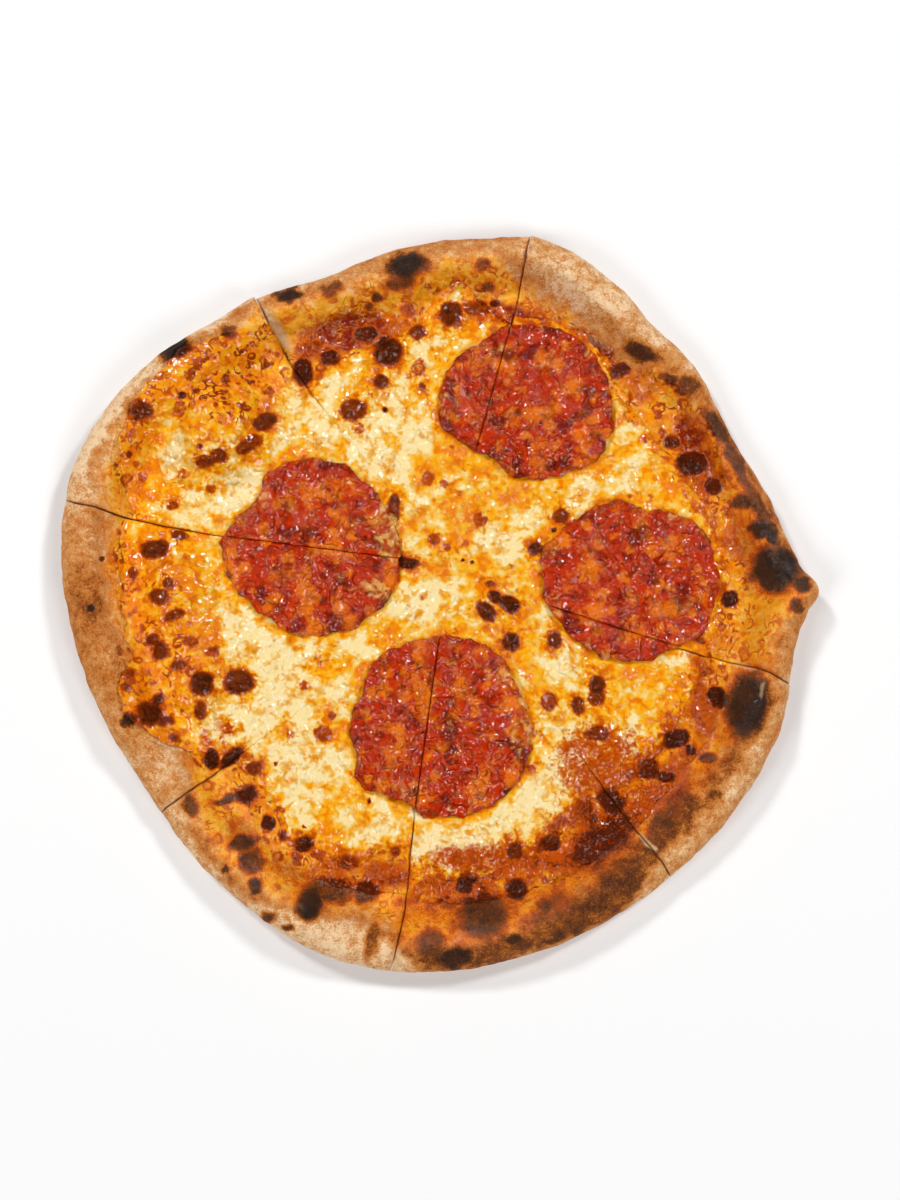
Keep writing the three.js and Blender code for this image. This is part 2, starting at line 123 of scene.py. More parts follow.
# Every slice lies anticlockwise of its first cut. Its curves are read by direction, and a bubble
# in its dough has a direction, a distance, half sizes across and along the slice, and a height.
SLICES = [
    {
        "cuts": ("top", "upper_left"),
        "rim_height": [(76, 17), (95, 18), (110, 16), (125, 13)],
        "rim_width": [(76, 26), (95, 28), (110, 24), (125, 22)],
        "cheese_edge": [
            (77, 110), (84, 119.6), (89, 124.4), (94, 115.5), (101, 104.7), (120, 105.5),
            (128.5, 97),
        ],
        "sauce_edge": [(77, 119), (84, 123.4), (92, 126), (101, 115), (109, 122.4), (125.6, 120)],
        "bubbles": [(98.2, 131, 9, 8, 3.5), (113.2, 131, 7, 6, 2)],
    },
    {
        "cuts": ("upper_left", "left"),
        "rim_height": [(127, 19), (140, 21), (158, 19), (170, 17)],
        "rim_width": [(127, 30), (170, 30)],
        "cheese_edge": [(128.6, 127), (140, 143), (150, 148), (157, 149), (164, 145), (170, 137.5)],
        "sauce_edge": [(128.6, 130), (140, 146), (150, 151), (157, 152), (164, 148), (170, 141)],
        "bubbles": [(148.7, 117, 34, 33, 16)],
    },
    {
        "cuts": ("left", "lower_left"),
        "rim_height": [(172, 17), (190, 18), (205, 17), (215, 14)],
        "rim_width": [(172, 28), (215, 28)],
        "cheese_edge": [(176, 141), (195, 139), (201, 146), (208, 145), (216, 133.6), (222, 125.7)],
        "sauce_edge": [(176, 143), (195, 141), (201, 148), (208, 147), (216, 136.5), (222, 132)],
        "bubbles": [(187.9, 116, 34, 20, 8), (206.3, 121, 22, 18, 6), (206.6, 144, 8, 6, 2)],
    },
    {
        "cuts": ("lower_left", "bottom"),
        "rim_height": [(222, 13), (240, 17), (250, 18), (261, 15)],
        "rim_width": [(222, 27), (261, 27)],
        "cheese_edge": [
            (223, 122), (230, 123.2), (238, 132), (246, 131), (252, 131), (256, 124), (261, 120),
        ],
        "sauce_edge": [(223, 129), (230, 133.7), (237, 142), (253, 141.7), (261, 139.2)],
        "bubbles": [(248.1, 151, 8, 7, 2.5)],
    },
    {
        "cuts": ("bottom", "lower_right"),
        "rim_height": [(263, 15), (280, 18), (295, 16), (304, 14)],
        "rim_width": [(263, 28), (304, 28)],
        "cheese_edge": [
            (264, 129), (271, 131.7), (285, 126), (292, 122.3), (300, 115), (304, 115),
        ],
        "sauce_edge": [(262, 141), (278, 141.2), (289, 139), (304, 134.4)],
        "bubbles": [(274.8, 145.4, 9, 9, 4)],
    },
    {
        "cuts": ("lower_right", "right"),
        "rim_height": [(305, 14), (320, 16), (333, 18), (340, 15)],
        "rim_width": [(305, 27), (340, 27)],
        "cheese_edge": [(306, 117), (322, 117), (330, 116.3), (338, 114)],
        "sauce_edge": [(306, 134.7), (317, 130.6), (328, 131.3), (335, 127.4), (340, 125)],
        "bubbles": [(333.9, 136, 10, 8, 4)],
    },
    {
        "cuts": ("right", "top"),
        "rim_height": [(341, 16), (355, 19), (370, 14), (390, 13), (405, 15), (420, 18), (435, 20)],
        "rim_width": [(341, 24), (355, 26), (370, 20), (390, 18), (405, 22), (420, 27), (435, 27)],
        "cheese_edge": [
            (344, 117), (353, 118.2), (372, 115.5), (380, 110.4), (392, 105), (405, 107.5),
            (416, 116.4), (426, 118.5), (433.5, 116),
        ],
        "sauce_edge": [
            (343, 126), (353, 127.5), (373, 123.6), (388, 127), (395, 127), (405, 122.6),
            (414, 120), (427, 122.5), (435, 122.3),
        ],
        "bubbles": [(357.2, 135.3, 7, 7, 5)],
    },
]

# The big salami slices: where the middle lies, the radius at equal steps of direction, the cut
# that goes through, and the numbers of the two slices that hold a part.
SALAMI_ROUNDS = {
    "a": {
        "middle": (65.4, 79.6),
        "radii": [37, 36, 36.6, 36.2, 34.5, 35.4, 33.5, 35.2, 36.9, 37.7, 37.8, 32, 30, 33.6,
                  35.2, 36.3, 40, 39.5],
        "cut": "top",
        "parts": (7, 1),
    },
    "b": {
        "middle": (172.3, 59.7),
        "radii": [38, 36.9, 36.2, 36.8, 38.3, 38.8, 37.7, 31.5, 35, 38.4, 37.5, 35.7, 36.1,
                  38.2, 38.2, 38.3, 39.9, 39.4],
        "cut": "left",
        "parts": (2, 3),
    },
    "c": {
        "middle": (356.1, 77),
        "radii": [37.7, 37.5, 36.9, 32.8, 30.5, 34.5, 33.7, 34.6, 38.7, 37.8, 37.5, 35.6, 36.1,
                  36.3, 35.3, 35.1, 37.9, 37.3],
        "cut": "right",
        "parts": (6, 7),
    },
    "d": {
        "middle": (266.8, 68.6),
        "radii": [38.1, 36.8, 37.9, 38.5, 37.4, 37.9, 38.6, 38.8, 36.5, 38.1, 37.9, 41, 35.3,
                  37.3, 37.8, 38.6, 39, 39],
        "cut": "bottom",
        "parts": (4, 5),
    },
}

# --- How the crust is baked, by direction ---

# Width of the floury outer band of the rim.
FLOUR_WIDTH = [
    (0, 2), (10, 1), (30, 1.5), (42, 6), (50, 12), (60, 18), (74, 20), (80, 9), (92, 7),
    (105, 7), (118, 6), (126, 4), (136, 5), (145, 9), (165, 10), (171, 13), (176, 18),
    (205, 17), (214, 20), (221, 17), (226, 7), (240, 6), (248, 14), (256, 18), (262, 10),
    (266, 2), (290, 1.5), (299, 3), (304, 9), (320, 11), (332, 10), (338, 7), (345, 8), (353, 5),
]
# How brown the crust is on that band, and inside it: 0 floury, 1 black.
FLOUR_BAKE = [
    (0, 0.3), (30, 0.25), (50, 0.15), (75, 0.12), (80, 0.3), (105, 0.27), (124, 0.12),
    (138, 0.03), (145, 0), (160, 0), (167, 0.08), (175, 0.26), (190, 0.36), (200, 0.34),
    (206, 0.28), (216, 0.2), (240, 0.14),
    (252, 0.06), (262, 0.1), (290, 0.25), (305, 0.2), (325, 0.2), (340, 0.27),
]
RIM_BAKE = [
    (0, 0.5), (20, 0.54), (40, 0.42), (50, 0.36), (60, 0.28), (76, 0.3), (90, 0.28), (105, 0.3),
    (120, 0.34), (135, 0.32), (150, 0.26), (168, 0.26), (180, 0.34), (200, 0.38), (221, 0.42),
    (240, 0.44), (255, 0.44), (270, 0.6), (285, 0.62), (300, 0.64), (310, 0.62), (325, 0.55),
    (335, 0.55), (345, 0.34), (355, 0.45),
]
# How far in from the edge the oil from the toppings starts to colour the crust.
OIL_START = [
    (0, 6), (30, 6), (42, 13), (52, 19), (62, 22), (74, 22), (82, 12), (95, 12), (110, 10),
    (125, 9), (140, 11), (160, 14), (172, 19), (205, 19), (216, 20), (226, 10), (240, 9),
    (250, 18), (258, 19), (264, 10), (280, 12), (295, 16), (305, 19), (320, 17), (335, 14),
    (345, 9), (353, 7),
]

# Width of the oily and browned edge of the cheese.
BRIM_WIDTH = [
    (0, 13), (60, 10), (100, 7), (125, 12), (150, 26), (168, 10), (180, 16), (200, 20), (220, 12),
    (240, 13), (262, 9), (275, 9), (285, 17), (298, 22), (310, 18), (325, 12), (340, 12),
]

# --- Marks read from the photograph ---

# A mark is a place in pixels of the 900 x 1200 photograph, half sizes in pixels, how far it is
# turned anticlockwise, and how strong it is. Each falls on whatever layer shows there.

CHARRED = [
    (139, 410, 13, 12, 0, 0.85), (175, 348, 17, 9, 25, 1.0), (229, 331, 9, 7, 20, 0.7),
    (288, 295, 15, 9, 10, 0.9), (332, 289, 13, 8, 10, 0.62), (407, 266, 22, 15, 10, 0.96),
    (400, 283, 18, 9, 10, 0.72), (483, 266, 10, 7, 0, 0.62), (488, 287, 9, 6, 0, 0.7),
    (619, 370, 12, 8, 0, 0.75), (641, 351, 21, 10, -20, 0.82), (669, 379, 10, 6, -30, 0.75),
    (688, 386, 14, 12, 0, 0.68), (717, 427, 9, 26, 34, 0.78), (736, 462, 8, 34, 28, 0.72),
    (757, 505, 8, 36, 26, 0.72), (743, 502, 14, 8, 0, 0.8), (759, 529, 11, 10, 0, 0.95),
    (772, 535, 8, 14, 25, 0.95), (776, 569, 27, 25, 0, 1.0), (803, 584, 10, 9, 0, 0.88),
    (796, 606, 9, 10, 0, 0.7), (748, 705, 23, 38, -12, 0.97), (720, 700, 12, 10, 0, 0.85),
    (93, 608, 14, 17, 0, 0.55), (84, 598, 20, 46, 8, 0.46), (149, 713, 15, 14, 0, 0.9),
    (129, 720, 9, 8, 0, 0.85), (165, 721, 10, 6, 0, 0.8), (159, 700, 7, 6, 0, 0.85),
    (125, 687, 8, 5, 0, 0.7),
    (119, 650, 4, 8, 0, 0.6), (127, 674, 8, 6, 0, 0.6), (190, 806, 9, 13, 0, 0.7),
    (246, 795, 13, 11, 0, 0.88), (225, 800, 16, 5, 20, 0.8), (243, 843, 16, 8, 20, 0.85),
    (225, 869, 6, 6, 0, 0.8), (251, 860, 15, 14, 0, 0.75), (255, 885, 9, 9, 0, 0.85),
    (311, 903, 14, 19, -8, 1.0), (330, 890, 30, 16, 0, 0.72), (366, 891, 16, 14, 0, 0.78),
    (372, 940, 8, 20, -15, 0.6), (268, 917, 8, 5, 0, 0.7), (289, 927, 7, 4, 0, 0.7),
    (483, 915, 28, 27, 0, 0.8), (454, 958, 22, 12, 10, 0.9), (430, 945, 18, 18, 0, 0.72),
    (514, 940, 9, 6, 0, 0.85), (466, 884, 14, 10, 30, 0.9), (516, 890, 11, 12, 0, 0.95),
    (561, 912, 46, 15, 15, 0.6), (622, 875, 42, 17, 38, 0.64), (600, 894, 20, 10, 30, 0.6),
    (665, 821, 24, 16, 50, 0.66), (678, 803, 20, 15, 50, 0.62), (612, 802, 14, 18, 30, 0.85),
    (545, 905, 10, 8, 0, 0.75), (700, 640, 6, 5, 0, 0.6), (602, 840, 46, 22, 35, 0.74),
    # The broad mark round (600, 765) is painted shade: a light browning that darkens the cheese
    # where it lies in shadow.
    (495, 858, 76, 15, 0, 0.46), (600, 765, 46, 46, 30, 0.42), (380, 870, 24, 12, 0, 0.4),
]

# Blisters of cheese and sauce that swelled up and browned.
BLISTERS = [
    (388, 351, 14.5, 14.5, 0, 0.95), (451, 314, 11, 12, 0, 0.85), (366, 334, 13, 7, 10, 0.8),
    (417, 332, 8, 7, 0, 0.75), (381, 381, 7, 7, 0, 0.8), (353, 410, 13, 11, 10, 0.72),
    (377, 298, 5, 4, 0, 0.8), (369, 306, 4, 4, 0, 0.7), (408, 309, 8, 8, 0, 0.5),
    (422, 387, 3, 3, 0, 0.7), (359, 429, 5, 5, 0, 0.4), (419, 367, 8, 8, 0, 0.4),
    (477, 308, 14, 8, 0, 0.65), (330, 358, 10, 7, 0, 0.85), (303, 372, 9, 14, 0, 0.9),
    (265, 421, 12, 8, 30, 0.82), (249, 444, 14, 7, 30, 0.7), (219, 456, 8, 7, 0, 0.7),
    (205, 461, 9, 7, 0, 0.7), (182, 475, 5, 5, 0, 0.4), (142, 477, 5, 5, 0, 0.4),
    (172, 506, 6, 4, 0, 0.6), (211, 489, 5, 3, 0, 0.5), (155, 549, 15, 9, 10, 0.85),
    (133, 573, 5, 6, 0, 0.7), (179, 535, 7, 4, 0, 0.75), (168, 583, 5, 5, 0, 0.75),
    (159, 596, 9, 8, 0, 0.75), (175, 615, 10, 5, 20, 0.7), (153, 640, 7, 6, 0, 0.75),
    (160, 651, 7, 8, 0, 0.8), (190, 641, 8, 5, 0, 0.6), (179, 665, 8, 5, 0, 0.7),
    (202, 683, 11, 12, 0, 0.92), (239, 682, 15, 12, 0, 0.85), (212, 652, 8, 5, 0, 0.6),
    (200, 710, 6, 9, 0, 0.75), (211, 759, 7, 10, 0, 0.95), (231, 758, 14, 6, 40, 0.95),
    (254, 768, 9, 6, 0, 0.7), (228, 729, 5, 5, 0, 0.5), (268, 823, 6, 7, 0, 0.9),
    (304, 844, 9, 8, 0, 0.95), (283, 836, 5, 5, 0, 0.7), (296, 856, 5, 4, 0, 0.6),
    (319, 855, 6, 5, 0, 0.55), (348, 862, 12, 8, 0, 0.6), (323, 734, 9, 8, 0, 0.55),
    (332, 715, 4, 3, 0, 0.6), (305, 686, 5, 5, 0, 0.45), (174, 738, 5, 4, 0, 0.7),
    (394, 508, 5, 14, 0, 0.8), (405, 562, 14, 5, -10, 0.95), (428, 478, 6, 7, 0, 0.5),
    (444, 484, 4, 4, 0, 0.45), (434, 539, 5, 5, 0, 0.55), (447, 547, 4, 3, 0, 0.5),
    (480, 520, 7, 6, 0, 0.5), (561, 516, 8, 7, 0, 0.72), (535, 549, 7, 6, 35, 0.85),
    (489, 584, 4, 3, 0, 0.7), (495, 597, 7, 6, -30, 0.9), (510, 604, 10, 8, -30, 0.95),
    (486, 612, 12, 7, -50, 0.85), (511, 642, 8, 8, 0, 0.92), (555, 640, 6, 8, 0, 0.85),
    (597, 685, 8, 10, 0, 0.85), (597, 697, 8, 8, 0, 0.7), (578, 706, 5, 9, 0, 0.75),
    (597, 734, 13, 7, 5, 0.72), (549, 702, 7, 9, 0, 0.6), (730, 599, 8, 8, 0, 0.95),
    (716, 695, 9, 8, 0, 0.9), (676, 739, 14, 9, 20, 0.9), (691, 750, 5, 5, 0, 0.85),
    (648, 768, 12, 11, 0, 0.72), (666, 777, 10, 6, 0, 0.8), (708, 758, 10, 6, 0, 0.7),
    (550, 843, 10, 8, 10, 0.85), (515, 851, 8, 9, 0, 0.8), (585, 806, 9, 8, 0, 0.6),
    (620, 371, 10, 7, 0, 0.7), (692, 463, 16, 12, 0, 0.85), (672, 443, 8, 7, 0, 0.7),
    (713, 486, 9, 8, 0, 0.8), (531, 768, 3, 3, 0, 0.6), (445, 418, 6, 9, 10, 0.8),
    (395, 852, 4, 4, 0, 0.6), (520, 380, 3, 3, 0, 0.3),
]

# Places where melted cheese ran over the edge of a salami slice.
VEILS = [
    (388, 530, 13, 34, 0, 0.9), (378, 588, 13, 12, 0, 0.9), (257, 502, 8, 12, 0, 0.6),
    (524, 718, 10, 38, -8, 0.8), (500, 675, 20, 7, -20, 0.6), (440, 405, 9, 14, 0, 0.5),
    (590, 352, 10, 8, 0, 0.4), (668, 510, 15, 7, -10, 0.7), (714, 526, 15, 13, 0, 0.8),
    (556, 612, 7, 18, 0, 0.5), (600, 650, 24, 7, -15, 0.4), (400, 788, 12, 6, -30, 0.4),
]

# Tiny burnt specks and open holes.
SPECKS = [
    (385, 410, 2.4, 3, 20, 1.0), (369, 801, 2, 3.2, 0, 1.0), (276, 764, 2, 2, 0, 0.9),
    (554, 530, 3, 2.4, 0, 0.95), (102, 559, 3, 3, 0, 0.8), (91, 608, 4, 4, 0, 0.95),
    (182, 395, 4, 4, 0, 1.0), (200, 446, 3, 3, 0, 0.8), (129, 454, 4, 4, 0, 0.7),
    (495, 303, 6, 4, 0, 0.85), (614, 797, 4, 4, 0, 0.7), (304, 827, 2, 2, 0, 0.8),
    (676, 730, 2.4, 1.6, 0, 0.8), (472, 562, 2, 2, 0, 0.9), (463, 560, 1.8, 1.8, 0, 0.9),
    (776, 569, 20, 19, 0, 0.96), (768, 573, 12, 20, 10, 0.96),
]

# Places where the melted cheese stayed pale and thick, and others that are soaked in orange oil.
CREAMY = [
    (385, 440, 46, 40, 0, 0.5), (300, 405, 30, 26, 0, 0.6), (230, 500, 40, 22, 20, 0.6),
    (265, 660, 40, 46, -30, 0.9), (300, 770, 52, 40, -20, 0.7), (250, 720, 26, 40, 0, 0.6),
    (390, 840, 22, 16, 0, 0.7), (470, 845, 60, 22, 10, 0.8), (545, 790, 46, 46, 0, 0.6),
    (590, 730, 36, 30, 0, 0.3), (500, 545, 26, 14, 20, 0.9), (715, 525, 18, 14, 0, 0.9),
    (600, 490, 40, 14, 20, 0.4), (690, 660, 36, 8, -15, 0.7), (410, 600, 34, 22, 20, 0.5),
    (420, 300, 20, 12, 0, 0.9), (560, 660, 20, 12, 0, 0.7),
    (640, 760, 16, 12, 0, 0.4), (635, 430, 16, 34, 0, 0.4), (455, 375, 14, 12, 0, 0.4),
]
OILY = [
    (445, 470, 34, 24, -20, 0.6), (660, 700, 46, 40, 10, 0.55), (500, 500, 40, 20, 10, 0.5),
    (580, 500, 34, 12, 0, 0.5), (640, 480, 30, 30, 0, 0.5), (720, 630, 30, 26, 0, 0.9),
    (330, 790, 30, 26, 0, 0.4), (330, 540, 70, 70, 0, 0.3), (520, 640, 34, 40, 0, 0.4),
    (165, 620, 46, 90, 0, 1.0), (225, 375, 66, 60, 30, 1.0), (150, 690, 50, 50, 0, 1.0),
    (440, 720, 92, 92, 0, 0.35), (630, 580, 92, 84, 0, 0.35), (525, 395, 92, 84, 0, 0.35),
    (475, 530, 60, 60, 0, 0.35),
    (135, 470, 22, 50, 0, 0.8), (355, 300, 60, 20, 10, 0.8), (575, 320, 60, 20, -25, 0.8),
]
# Places where red tomato sauce shows.
SAUCY = [
    (350, 332, 52, 19, 8, 1.0), (320, 345, 26, 14, 20, 0.9), (500, 318, 52, 15, -5, 1.0),
    (590, 346, 32, 14, -28, 0.9), (640, 385, 20, 14, -40, 0.5), (690, 436, 17, 22, 15, 1.0),
    (702, 468, 14, 26, 10, 1.0), (742, 540, 20, 20, 0, 0.6), (698, 690, 8, 50, 5, 0.9),
    (706, 715, 14, 26, 0, 0.6), (672, 782, 17, 20, 30, 0.8), (650, 800, 30, 12, 40, 0.9),
    (602, 838, 40, 20, 35, 0.95), (560, 860, 34, 12, 15, 0.7), (388, 876, 22, 14, 0, 0.9),
    (430, 886, 20, 10, 10, 0.8), (214, 735, 18, 16, 0, 0.9), (200, 700, 12, 14, 0, 0.5),
    (175, 560, 14, 10, 0, 0.5), (288, 870, 26, 8, -20, 0.5), (240, 830, 16, 12, -40, 0.6),
    (335, 868, 24, 8, -5, 0.6), (500, 870, 30, 9, 5, 0.6), (200, 410, 10, 6, 0, 0.5),
    (235, 440, 20, 6, 25, 0.5), (720, 640, 14, 16, 0, 0.3), (610, 502, 13, 9, 0, 0.8),
]
# Places where the pale inside of the dough shows.
CRUMBS = [
    (276, 328, 27, 5, -58, 1.0), (762, 690, 9, 2, 80, 0.4), (648, 843, 12, 3, -45, 1.0),
    (396, 962, 13, 4, 70, 0.7), (742, 666, 14, 2, -15, 0.6), (784, 682, 6, 3, -20, 0.6),
    (66, 502, 7, 3, -10, 0.8), (534, 250, 9, 2.4, 80, 0.6), (172, 768, 12, 2, 25, 0.5),
]
# The two big bubbles, whose skin is full of brown wrinkles and pits.
WRINKLED = [
    (228, 382, 62, 44, 35, 1.0), (250, 350, 34, 26, 0, 0.6), (165, 640, 34, 80, 5, 0.8),
    (160, 700, 44, 24, 0, 0.7), (225, 800, 40, 34, -30, 0.5), (250, 855, 44, 30, -30, 0.5),
]

# --- Curves ---


def curve(points):
    """A smooth curve through (position, value) points, which keeps its end values past its ends."""
    position, value = np.array(points, float).T
    order = np.arange(len(position))
    before = np.maximum(order - 1, 0)
    after = np.minimum(order + 1, len(position) - 1)
    slope = (value[after] - value[before]) / (position[after] - position[before])

    def read(at):
        at = np.clip(at, position[0], position[-1])
        i = np.clip(np.searchsorted(position, at, side="right") - 1, 0, len(position) - 2)
        span = position[i + 1] - position[i]
        t = (at - position[i]) / span
        rise = (1 - t) * slope[i] - t * slope[i + 1]
        step = value[i + 1] - value[i]
        return value[i] + step * t + t * (1 - t) * span * (rise - (1 - 2 * t) * step / span)

    return read


def ring(points):
    """The same for a closed ring of directions."""
    unrolled = curve([(at + turn, value) for turn in (-360, 0, 360) for at, value in points])
    return lambda direction: unrolled(np.mod(direction, 360))


def smooth(low, high, value):
    """0 below low, 1 above high, and a soft step between them."""
    t = np.clip((value - low) / (high - low), 0, 1)
    return t * t * (3 - 2 * t)


def mixed(first, second, share):
    return first + (second - first) * share


def joined(*covers):
    """Covers laid over each other: whatever one leaves bare, the next may cover."""
    bare = 1.0
    for cover in covers:
        bare = bare * (1 - cover)
    return 1 - bare


# --- Seeded random patterns on a level surface ---

SHUFFLES = {}


def shuffled(seed):
    """The numbers up to 255 in a random order, which is drawn once for each seed."""
    if seed not in SHUFFLES:
        SHUFFLES[seed] = np.random.default_rng(seed).permutation(256)
    return SHUFFLES[seed]


LEANS = np.arange(512) * (math.tau / 256)
LEAN_ALONG, LEAN_UP = np.cos(LEANS), np.sin(LEANS)


def waves(x, y, size, seed):
    """Random hills and hollows from about -1 to 1, each about as wide as size."""
    order = shuffled(seed)
    u, v = x / size, y / size
    i, j = np.floor(u).astype(int), np.floor(v).astype(int)
    along, up = u - i, v - j

    def corner(a, b):
        lean = order[(order[(i + a) & 255] + j + b) & 255]
        return LEAN_ALONG[lean] * (along - a) + LEAN_UP[lean] * (up - b)

    ease_along = along**3 * (along * (along * 6 - 15) + 10)
    ease_up = up**3 * (up * (up * 6 - 15) + 10)
    low = mixed(corner(0, 0), corner(1, 0), ease_along)
    high = mixed(corner(0, 1), corner(1, 1), ease_along)
    return 1.5 * mixed(low, high, ease_up)


def rough(x, y, size, seed, octaves=3):
    """Waves with finer and weaker waves on them."""
    total, strength = 0, 1
    for i in range(octaves):
        total = total + strength * waves(x, y, size, seed + i)
        size, strength = size / 2.1, strength * 0.5
    return total


def pebbles(x, y, cell, seed, kept=1.0):
    """Scattered round domes, 1 at the top of each and 0 between them, one for each cell at most."""
    chance = np.random.default_rng(seed).random((4, 128, 128))
    u, v = x / cell, y / cell
    i, j = np.floor(u).astype(int), np.floor(v).astype(int)
    best = np.zeros(np.shape(u))
    for a in (-1, 0, 1):
        for b in (-1, 0, 1):
            across, up, size, luck = chance[:, (i + a) & 127, (j + b) & 127]
            radius = 0.18 + 0.32 * size
            reach = ((u - i - a - across) ** 2 + (v - j - b - up) ** 2) / radius**2
            best = np.maximum(best, np.where(luck < kept, 1 - reach, 0))
    return best


def creases(x, y, size, seed):
    """A net of narrow lines where waves cross their middle level."""
    return 1 - np.clip(np.abs(rough(x, y, size, seed, 2)) * 3.2, 0, 1)


# --- The photograph's view ---

VIEW_ELEVATION = math.radians(82)
VIEW_DISTANCE = 560
VIEW_AIM = np.array([5.6, -3.8, 8.0])
VIEW_FORWARD = np.array([0, math.cos(VIEW_ELEVATION), -math.sin(VIEW_ELEVATION)])
VIEW_UP = np.array([0, math.sin(VIEW_ELEVATION), math.cos(VIEW_ELEVATION)])
VIEW_EYE = VIEW_AIM - VIEW_FORWARD * VIEW_DISTANCE
SENSOR = 36
LENS = 39.53
PHOTO_SIZE = (900, 1200)
PHOTO_MIDDLE = (450, 600)
PIXEL = SENSOR / PHOTO_SIZE[1]  # of the sensor, in millimetres
PIXEL_ON_PIZZA = PIXEL * VIEW_DISTANCE / LENS


def photo_place(x, y, z):
    """Where the photograph shows a point of the pizza, in its pixels."""
    arm = [x - VIEW_EYE[0], y - VIEW_EYE[1], z - VIEW_EYE[2]]
    depth = sum(a * f for a, f in zip(arm, VIEW_FORWARD))
    scale = LENS / PIXEL / depth
    up = sum(a * u for a, u in zip(arm, VIEW_UP))
    return PHOTO_MIDDLE[0] + arm[0] * scale, PHOTO_MIDDLE[1] - up * scale


def reach_of(mark, at):
    """How far each point is from the middle of a mark, as a share of the mark's size."""
    across, down = at[0] - mark[0], at[1] - mark[1]
    cosine, sine = math.cos(math.radians(mark[4])), math.sin(math.radians(mark[4]))
    along = (across * cosine - down * sine) / mark[2]
    beside = (across * sine + down * cosine) / mark[3]
    return np.sqrt(along**2 + beside**2)


def over_marks(marks, at, worth):
    """The greatest worth that any mark near each point has there."""
    best = np.zeros(np.shape(at[0]))
    for mark in marks:
        size = 1.6 * max(mark[2], mark[3])
        near = (np.abs(at[0] - mark[0]) < size) & (np.abs(at[1] - mark[1]) < size)
        near = np.nonzero(near)
        if len(near[0]):
            reach = reach_of(mark, (at[0][near], at[1][near]))
            best[near] = np.maximum(best[near], worth(mark, reach))
    return best


def cover(marks, at, softness, wider=0):
    """How strongly the marks cover each point, with every mark wider by that many pixels."""
    marks = [(*m[:2], m[2] + wider, m[3] + wider, *m[4:]) for m in marks]
    return over_marks(
        marks, at, lambda mark, reach: mark[5] * (1 - smooth(1 - softness, 1 + softness, reach))
    )


def domes(marks, at):
    """Height of round domes on the marks, in millimetres."""
    rise = 0.4 * PIXEL_ON_PIZZA
    return over_marks(
        marks, at,
        lambda mark, reach: rise * min(mark[2], mark[3]) * np.clip(1 - reach**2, 0, 1) ** 0.8,
    )


def wandering(at, x, y, amount):
    """The same places, moved a little so that the edges of marks wander."""
    return (
        at[0] + amount * rough(x, y, 5, 401, 2),
        at[1] + amount * rough(x, y, 5, 411, 2),
    )


# --- Settings ---


def linear(red, green, blue):
    """A colour as a screen shows it, 0 to 255, as the light it stands for."""
    shares = [channel / 255 for channel in (red, green, blue)]
    return [s / 12.92 if s <= 0.04045 else ((s + 0.055) / 1.055) ** 2.4 for s in shares]


def colour(name, description, *channels):
    return FloatVectorProperty(
        name=name, description=description, subtype="COLOR", size=3, min=0, max=1,
        default=linear(*channels),
    )


def length(name, description, millimetres):
    return FloatProperty(
        name=name, description=description, subtype="DISTANCE", unit="LENGTH", min=0,
        default=millimetres * MM,
    )


def number(name, description, default, low=0.0, high=1.0):
    return FloatProperty(name=name, description=description, min=low, max=high, default=default)


class CrustSettings(PropertyGroup):
    """Sizes and colours of the baked dough."""

    base: length("Base", "Thickness of the dough under the toppings", 3.4)
    undercut: length("Undercut", "How far in the rounded underside of the rim reaches", 9)
    edge_share: number("Edge share", "Height of the outermost point, as a share of the rim's", 0.5)
    ridge_share: number("Ridge share", "Where the rim is highest, as a share of its width", 0.42)
    lumps: length("Lumps", "How far the lumps of the rim rise and sink", 1.0)
    flour: colour("Flour", "Floury pale crust", 246, 210, 166)
    tan: colour("Tan", "Lightly baked crust", 216, 152, 88)
    golden: colour("Golden", "Golden brown crust", 194, 114, 40)
    brown: colour("Brown", "Deep brown crust", 128, 66, 16)
    dark: colour("Dark", "Dark brown crust", 78, 40, 14)
    char: colour("Char", "Burnt crust", 40, 24, 15)
    crumb: colour("Crumb", "Inside of the dough on the cut faces", 228, 190, 140)


class SauceSettings(PropertyGroup):
    """Sizes and colours of the tomato sauce."""

    thickness: length("Thickness", "Thickness of the sauce", 0.9)
    lip: length("Lip", "Thickness at its edge", 0.15)
    clearance: length("Clearance", "Room between two layers", 0.3)
    bright: colour("Bright", "Orange-red sauce", 200, 74, 2)
    red: colour("Red", "Red sauce", 126, 22, 1)
    burnt: colour("Burnt", "Sauce that dried and browned", 92, 28, 4)
    # Painted highlights and real oil: orange threads laid in the sauce's colour, partly streaks of
    # oil and partly the glint of light on it.
    painted_glint: colour("Glint", "Threads of oil on the sauce", 250, 150, 20)


class CheeseSettings(PropertyGroup):
    """Sizes and colours of the melted cheese."""

    thickness: length("Thickness", "Thickness of the cheese", 2.0)
    lip: length("Lip", "Thickness at its edge", 0.4)
    relief: length("Relief", "How far the lumps of the cheese rise and sink", 0.6)
    pale: colour("Pale", "Thickest and palest cheese", 254, 226, 160)
    cream: colour("Cream", "Pale melted cheese", 248, 202, 104)
    yellow: colour("Yellow", "Cheese with some oil", 253, 180, 22)
    orange: colour("Orange", "Cheese soaked in oil", 250, 140, 1)
    toasted: colour("Toasted", "First browning", 194, 76, 2)
    brown: colour("Brown", "Browned blisters", 122, 46, 6)
    dark: colour("Dark", "Darkest blisters", 60, 24, 8)
    # Painted highlights: near-white curly threads in the cheese's colour, where light would glint
    # on wet cheese.
    painted_glint: colour("Glint", "Threads of oil on the cheese", 255, 246, 214)


